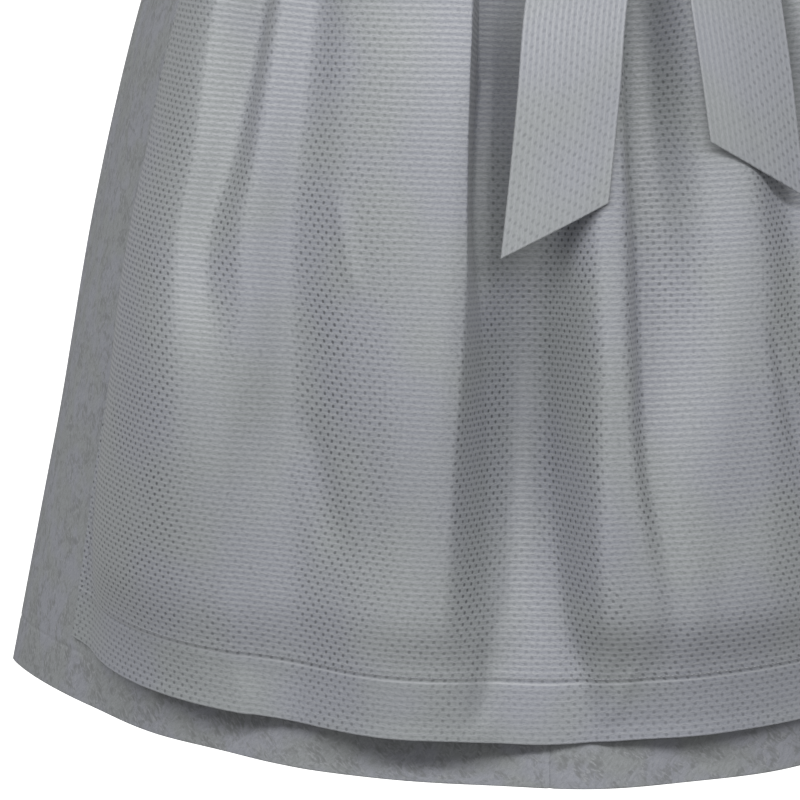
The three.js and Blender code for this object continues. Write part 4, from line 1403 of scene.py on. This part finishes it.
    def tail(self, side: Side, apron: Apron, finish: Material) -> Object:
        """One hanging tail, cut slanting at its end; it rests on the highest folds of the apron under it."""
        is_left = side is Side.LEFT
        table, cut = (self.left_tail, self.left_cut) if is_left else (self.right_tail, self.right_cut)
        first = table.rows[0][0]
        share, across = np.meshgrid(spaced(0.0, 1.0, 110, 0.003), spaced(0.0, 1.0, 30, 0.012),
                                    indexing="ij")
        drop = lerp(first, lerp(cut[0], cut[1], across), share)
        width = table.read(drop, "width")
        aside = self.tie_width * width * (across - 0.5)
        middle, table_lift = table.read(drop, "middle"), table.read(drop, "lift")
        angle = middle + self.form.degrees_for(aside, middle, -drop, table_lift)
        narrowed = 1 - smooth((width - 0.2) / 0.8)
        tucks = (np.cos(across * 17.0 + 0.5) + 0.6 * np.cos(across * 31.0)) * 1.3 * narrowed
        tucks = tucks * smooth((drop - first) / 12)
        rest = smooth((drop - 25.0) / 55.0)
        lift = table_lift * (1 - rest) + np.maximum(table_lift, self.bed(apron, angle, drop)) * rest
        lift = lift + self.tie + tucks
        faces = self.form.faces(angle, -drop, lift, self.tie)
        weave = np.stack([each_row(down_the_cloth(faces[0]), drop), self.tie_width * (across - 0.5)], -1)
        # Painted shade in the pits, more towards the tail's end, and on the right tail more towards one edge
        openness = (0.12 + 0.3 * smooth((drop - 150.0) / 120.0)) * np.ones(drop.shape)
        openness = openness * (1.0 if is_left else 1.5 * smooth(across / 0.8))
        piece = cloth_piece(f"tie_tail_{side.word}", "dobby", finish, faces, weave,
                            bulge=(0.0, 0.5, 0.5, 0.5), openness=openness)
        return piece


@dataclass
class Bodice:
    """The sleeveless bodice: fronts that lap and button, backs, and the sides between princess seams."""

    form: Form
    thickness: float = 2.0
    underarm: float = 203.0
    front_neck: float = 195.0
    back_neck: float = 296.0
    shoulder: float = 392.0
    # how far below the top of the shoulder's arch the straps' ends are measured: they then all but touch
    seam_slack: float = 0.00002
    strap: float = 43.0
    seam_top: float = 236.0
    armhole_top: float = 300.0
    armhole_inner: float = 44.0
    armhole_shoulder: float = 47.0
    neck_half: float = 62.0
    front_neck_depth: float = 95.0
    back_neck_depth: float = 70.0
    # the chest's half width that the neck and the straps are measured on, and its arc for each degree
    chest_half: float = 151.0
    arc: float = 2.4

    # the princess seams, in degrees from the centre front or back
    front_seam: Table = Table(("height", "away"), (
        (0, 24), (60, 27), (110, 32), (150, 35), (200, 43), (236, 55)))
    back_seam: Table = Table(("height", "away"), ((0, 30), (90, 34), (160, 41), (236, 55)))

    cup_angle: float = 35.0
    cup_height: float = 146.0
    cup_reach: float = 25.0
    cup_above: float = 84.0
    cup_below: float = 58.0
    cup_depth: float = 21.0

    lap_edge: float = 5.0
    lap_start: float = 7.0
    lap_fold: float = 14.0
    lap_lift: float = 3.0
    lap_under: float = 4.5
    # how far from a seam the added columns of a piece lie, as shares of its width
    seam_rows: tuple[float, float] = (0.006, 0.013)

    def cups(self, angle: Array, height: Array) -> Array:
        """How far the cups stand out: full at the bust, soft above and tucked in below."""
        reach = np.where(height > self.cup_height, self.cup_above, self.cup_below)
        away = np.hypot((np.abs(angle) - self.cup_angle) / self.cup_reach, (height - self.cup_height) / reach)
        return np.where(away < 1, self.cup_depth * (1 - np.minimum(away, 1) ** 2) ** 2, 0.0)

    def armhole(self, height: Array) -> Array:
        """The armhole's edge, in degrees from the centre front or back."""
        rise = (height - self.armhole_top) / (self.shoulder - self.armhole_top)
        lean = (self.armhole_top - height) / (self.armhole_top - self.underarm)
        low = 90 - (90 - self.armhole_inner) * np.sqrt(np.maximum(1 - lean * lean, 0))
        high = lerp(self.armhole_inner, self.armhole_shoulder, rise)
        return np.where(height >= self.armhole_top, high, low)

    def neckline(self, height: Array, bottom: float, depth: float) -> Array:
        """The neckline's edge, a wide scoop, in degrees from the centre front or back.

        Args:
            height: the heights.
            bottom: the height at the scoop's lowest point.
            depth: how far above it the scoop's sides stand upright.
        """
        inner = math.degrees(math.asin(self.neck_half / self.chest_half))
        strap = math.degrees(math.asin(self.strap / self.chest_half))
        rise = (height - bottom - depth) / (self.shoulder - bottom - depth)
        lean = np.clip(1 - (height - bottom) / depth, 0, 1)
        scoop = inner * (1 - lean ** 2.6) ** (1 / 2.2)
        high = lerp(inner, self.armhole_shoulder - strap + 3, rise)
        return np.where(height <= bottom, 0.0, np.where(height >= bottom + depth, high, scoop))

    def centre_rows(self, bottom: float, depth: float) -> Array:
        """Heights of the rows of a centre piece, close where the neckline and the shoulder turn fast."""
        low = spaced(0.15, bottom, 70)
        scoop = bottom + depth * np.linspace(0, 1, 46)[1:] ** 1.9
        reach = self.shoulder - self.seam_slack - bottom - depth
        high = bottom + depth + reach * (1 - np.linspace(1, 0, 52)[1:] ** 1.8)
        return np.concatenate([low, scoop, high])

    def piece(self, solid: str, side: Side, face: Face, finish: Material,
              places: tuple[Array, Array], raised: Array | float, to_seam: Array,
              bulge: tuple[float, float, float, float], bolt: float = 0.0) -> Object:
        """One piece of the bodice.

        Args:
            solid: the solid that it stands for.
            side: the side of the dress that it lies on.
            face: whether it is of the front or the back.
            finish: the cloth's material.
            places: degrees from the centre front or back, and heights.
            raised: how far it stands out over what lies under it.
            to_seam: how far each place is from the nearest seam.
            bulge: how its edges are rounded out.
            bolt: how far along the bolt it is cut.

        Returns:
            The piece.
        """
        away, height = places
        is_front = face is Face.FRONT
        angle = side.value * (away if is_front else 180 - away)
        lift = self.thickness + raised + (self.cups(angle, height) if is_front else 0.0)
        lift = lift + self.form.seam_groove(to_seam)
        weave = np.stack([side.value * away * self.arc + bolt, height], -1)
        return cloth_piece(solid, "jacquard", finish, self.form.faces(angle, height, lift, self.thickness),
                           weave, bulge=bulge)

    def centre_piece(self, side: Side, face: Face, finish: Material) -> Object:
        """The centre piece of one half, with its strap."""
        is_front = face is Face.FRONT
        bottom = self.front_neck if is_front else self.back_neck
        depth = self.front_neck_depth if is_front else self.back_neck_depth
        seam = self.front_seam if is_front else self.back_seam
        height, share = np.meshgrid(self.centre_rows(bottom, depth), spaced(0.0, 1.0, 44, *self.seam_rows),
                                    indexing="ij")
        far = np.where(height <= self.seam_top, seam.read(height, "away"), self.armhole(height))
        edge = top_edge = lap = 0.0
        if is_front and side is Side.LEFT:
            edge, top_edge, lap = self.lap_edge, self.lap_edge, self.lap_lift
        elif is_front:
            edge, top_edge = self.lap_under, -0.3
        near = np.where(height <= bottom, -np.where(height < bottom, edge, top_edge),
                        np.maximum(self.neckline(height, bottom, depth), 0))
        away = lerp(near, far, share)
        start = np.maximum(near, self.lap_start)
        raised = (lap * (1 - smooth((away - start) / (self.lap_fold - self.lap_start)))
                  * (1 - smooth((height - bottom - 20) / 30)))
        to_seam = np.where(height <= self.seam_top, (far - away) * self.arc, 9.0)
        if not is_front:
            to_seam = np.minimum(to_seam, np.where(height < bottom, away * 1.6, 9.0))
        bulge = (0.0, 0.4, 0.0, 0.5 if is_front else 0.0)
        piece = self.piece(f"bodice_{face.value}_{side.word}", side, face, finish, (away, height),
                           raised, to_seam, bulge)
        return piece

    def side_piece(self, side: Side, face: Face, finish: Material) -> Object:
        """The side piece of one half, from the princess seam to the side seam."""
        is_front = face is Face.FRONT
        seam = self.front_seam if is_front else self.back_seam
        row, across = np.meshgrid(spaced(0.15, self.seam_top, 84), spaced(0.0, 1.0, 40, *self.seam_rows),
                                  indexing="ij")
        top_away = lerp(seam.read(np.array(self.seam_top), "away"), 90, across)
        lean = np.minimum((90 - top_away) / (90 - self.armhole_inner), 1)
        top_height = self.armhole_top - (self.armhole_top - self.underarm) * np.sqrt(1 - lean ** 2)
        squeeze = lerp(1.0, top_height / self.seam_top, smooth(row / self.seam_top))
        height = row * np.where(across <= 0, 1.0, squeeze)
        seam_away = seam.read(row, "away")
        away = lerp(seam_away, 90.0, across)
        to_seam = (0.5 - np.abs(across - 0.5)) * (90.0 - seam_away) * 2.2
        piece = self.piece(f"bodice_side_{face.value}_{side.word}", side, face, finish, (away, height),
                           0.0, to_seam, (0.0, 0.0, 0.4, 0.0), 500.0)
        return piece


@dataclass
class Buttons:
    """The six domed shank buttons down the centre front."""

    form: Form
    radius: float = 6.5
    height: float = 4.2
    first: float = 42.0
    step: float = 28.5
    count: int = 6
    seat: float = 5.3
    columns: int = 48
    beads: int = 24
    bead: float = 0.025

    # the turned outline, from the middle of the back over the rim to the middle of the front, as shares of
    # the radius and the height
    profile: tuple[tuple[float, float], ...] = (
        (0.0, 0.0), (0.78, 0.0), (0.93, 0.05), (1.0, 0.2), (0.98, 0.36), (0.9, 0.44), (0.82, 0.42),
        (0.76, 0.46), (0.7, 0.62), (0.56, 0.82), (0.38, 0.94), (0.18, 0.99), (0.0, 1.0))

    def button(self, number: int, finish: Material) -> Object:
        """One button: a turned dome within a raised rim."""
        angle, height = np.array([0.0]), np.array([self.first + self.step * number])
        seat = self.form.place(angle, height, np.array([self.seat]))[0]
        out = self.form.normal(angle, height)[0]
        aside = np.array([1.0, 0.0, 0.0])
        up = np.cross(out, aside)
        turns = np.linspace(0, 2 * np.pi, self.columns, endpoint=False)[:, None]
        rings = []
        for radius, rise in self.profile[1:-1]:
            beads = 1 + self.bead * np.cos(turns * self.beads) * (0.86 < radius <= 1.0)
            ring = self.radius * radius * beads * (np.cos(turns) * aside + np.sin(turns) * up)
            rings.append(seat + out * self.height * rise + ring)
        points = np.concatenate([*rings, [seat, seat + out * self.height]])
        faces = stacked_rings(len(rings), self.columns)
        obj = new_object(f"button_{number + 1}_pewter", points, faces, finish)
        return dress_piece(obj, "pewter", f"button_{number + 1}")


# ---------------------------------------------------------------- studio


@dataclass
class Studio:
    """A seamless white sweep, soft light from high in front and from behind, and the camera."""

    distance: float = 2.9
    camera_height: float = 0.184
    azimuth: float = -3.0
    pitch: float = 13.34
    yaw: float = 1.89
    lens: float = 181.3
    room: float = 0.38

    def camera(self) -> None:
        """Places the camera above the hem, close in on the apron and the skirt's left side."""
        turn = math.radians(self.azimuth)
        data = bpy.data.cameras.new("camera")
        data.lens, data.sensor_width = self.lens, 36.0
        data.clip_end = 60.0
        camera = linked("camera", data)
        camera.location = (self.distance * math.sin(turn), -self.distance * math.cos(turn),
                           self.camera_height)
        camera.rotation_euler = (math.radians(90 - self.pitch), 0.0, math.radians(self.azimuth + self.yaw))
        bpy.context.scene.camera = camera

    def sweep(self) -> None:
        """Hangs one seamless white all round, far enough off that it neither shades nor tints the dress."""
        radius, rings, turns = 25.0, 15, 32
        up = np.linspace(-np.pi / 2, np.pi / 2, rings + 2)[1:-1]
        round_ = np.linspace(0, 2 * np.pi, turns, endpoint=False)
        points = [(math.cos(u) * math.cos(t), math.cos(u) * math.sin(t), math.sin(u))
                  for u in up for t in round_] + [(0, 0, -1), (0, 0, 1)]
        mesh = bpy.data.meshes.new("white_sweep")
        mesh.from_pydata((radius * np.array(points)).tolist(), [], stacked_rings(rings, turns))
        white = linear("FFFFFF")
        mesh.materials.append(Shader("matt_white_paper").finished(
            Base_Color=white, Roughness=1.0, Specular_IOR_Level=0.0, Emission_Color=white,
            Emission_Strength=1.0))
        sweep = linked("white_sweep", mesh)
        sweep.visible_diffuse = sweep.visible_glossy = sweep.visible_shadow = False

    def light(self, name: str, place: tuple[float, float, float], aim: tuple[float, float, float],
              size: tuple[float, float], power: float, glossy: bool = True) -> None:
        """Hangs one soft box.

        Args:
            name: the light's name.
            place: where it hangs, in metres.
            aim: the point that it faces.
            size: its width and height.
            power: its power in watts.
            glossy: whether the cloth glints in it.
        """
        data = bpy.data.lights.new(name, "AREA")
        data.shape, data.size, data.size_y, data.energy = "RECTANGLE", *size, power
        lamp = linked(name, data)
        lamp.visible_glossy = glossy
        lamp.location = place
        away = Vector(place) - Vector(aim)
        lamp.rotation_euler = away.to_track_quat("Z", "Y").to_euler()

    def build(self) -> None:
        """Sets up the white sweep, the lights and the soft light of the room."""
        self.sweep()
        self.light("key", (-0.5, -3.05, 1.95), (0, -0.2, -0.45), (7.5, 0.5), 170.0)
        self.light("back", (1.3, 3.1, 1.8), (0, 0, -0.15), (2.4, 0.8), 150.0, glossy=False)
        world = bpy.data.worlds.new("white_room")
        world.use_nodes = True
        feed(world.node_tree, world.node_tree.nodes["Background"], {0: linear("FFFFFF"), 1: self.room})
        bpy.context.scene.world = world
        bpy.context.scene.view_settings.view_transform = "Standard"


def main() -> None:
    """Builds the whole dress and its studio."""
    logging.basicConfig(level=logging.INFO, format="%(name)s %(message)s")
    Studio().camera()
    finishes = make_finishes()
    form = Form()
    skirt = Skirt(form)
    apron = Apron(form, skirt)
    bodice = Bodice(form)
    for face in Face:
        for side in Side:
            bodice.centre_piece(side, face, finishes.jacquard)
            bodice.side_piece(side, face, finishes.jacquard)
    for face in Face:
        for side in Side:
            skirt.panel(side, face, finishes.jacquard)
    apron.panel(finishes.dobby)
    apron.stitches(finishes.thread)
    waist = Waist(form)
    waist.band(finishes.dobby)
    waist.wrap(Side.LEFT, 28.0, 3, finishes.tie_dobby)
    waist.wrap(Side.RIGHT, -5.0, 4, finishes.tie_dobby)
    bow = Bow(form)
    bow.knot(finishes.tie_dobby)
    for side in Side:
        bow.loop(side, finishes.tie_dobby)
        bow.tail(side, apron, finishes.tie_dobby)
    buttons = Buttons(form)
    for number in range(buttons.count):
        buttons.button(number, finishes.pewter)
    Studio().build()


if __name__ == "__main__":
    main()
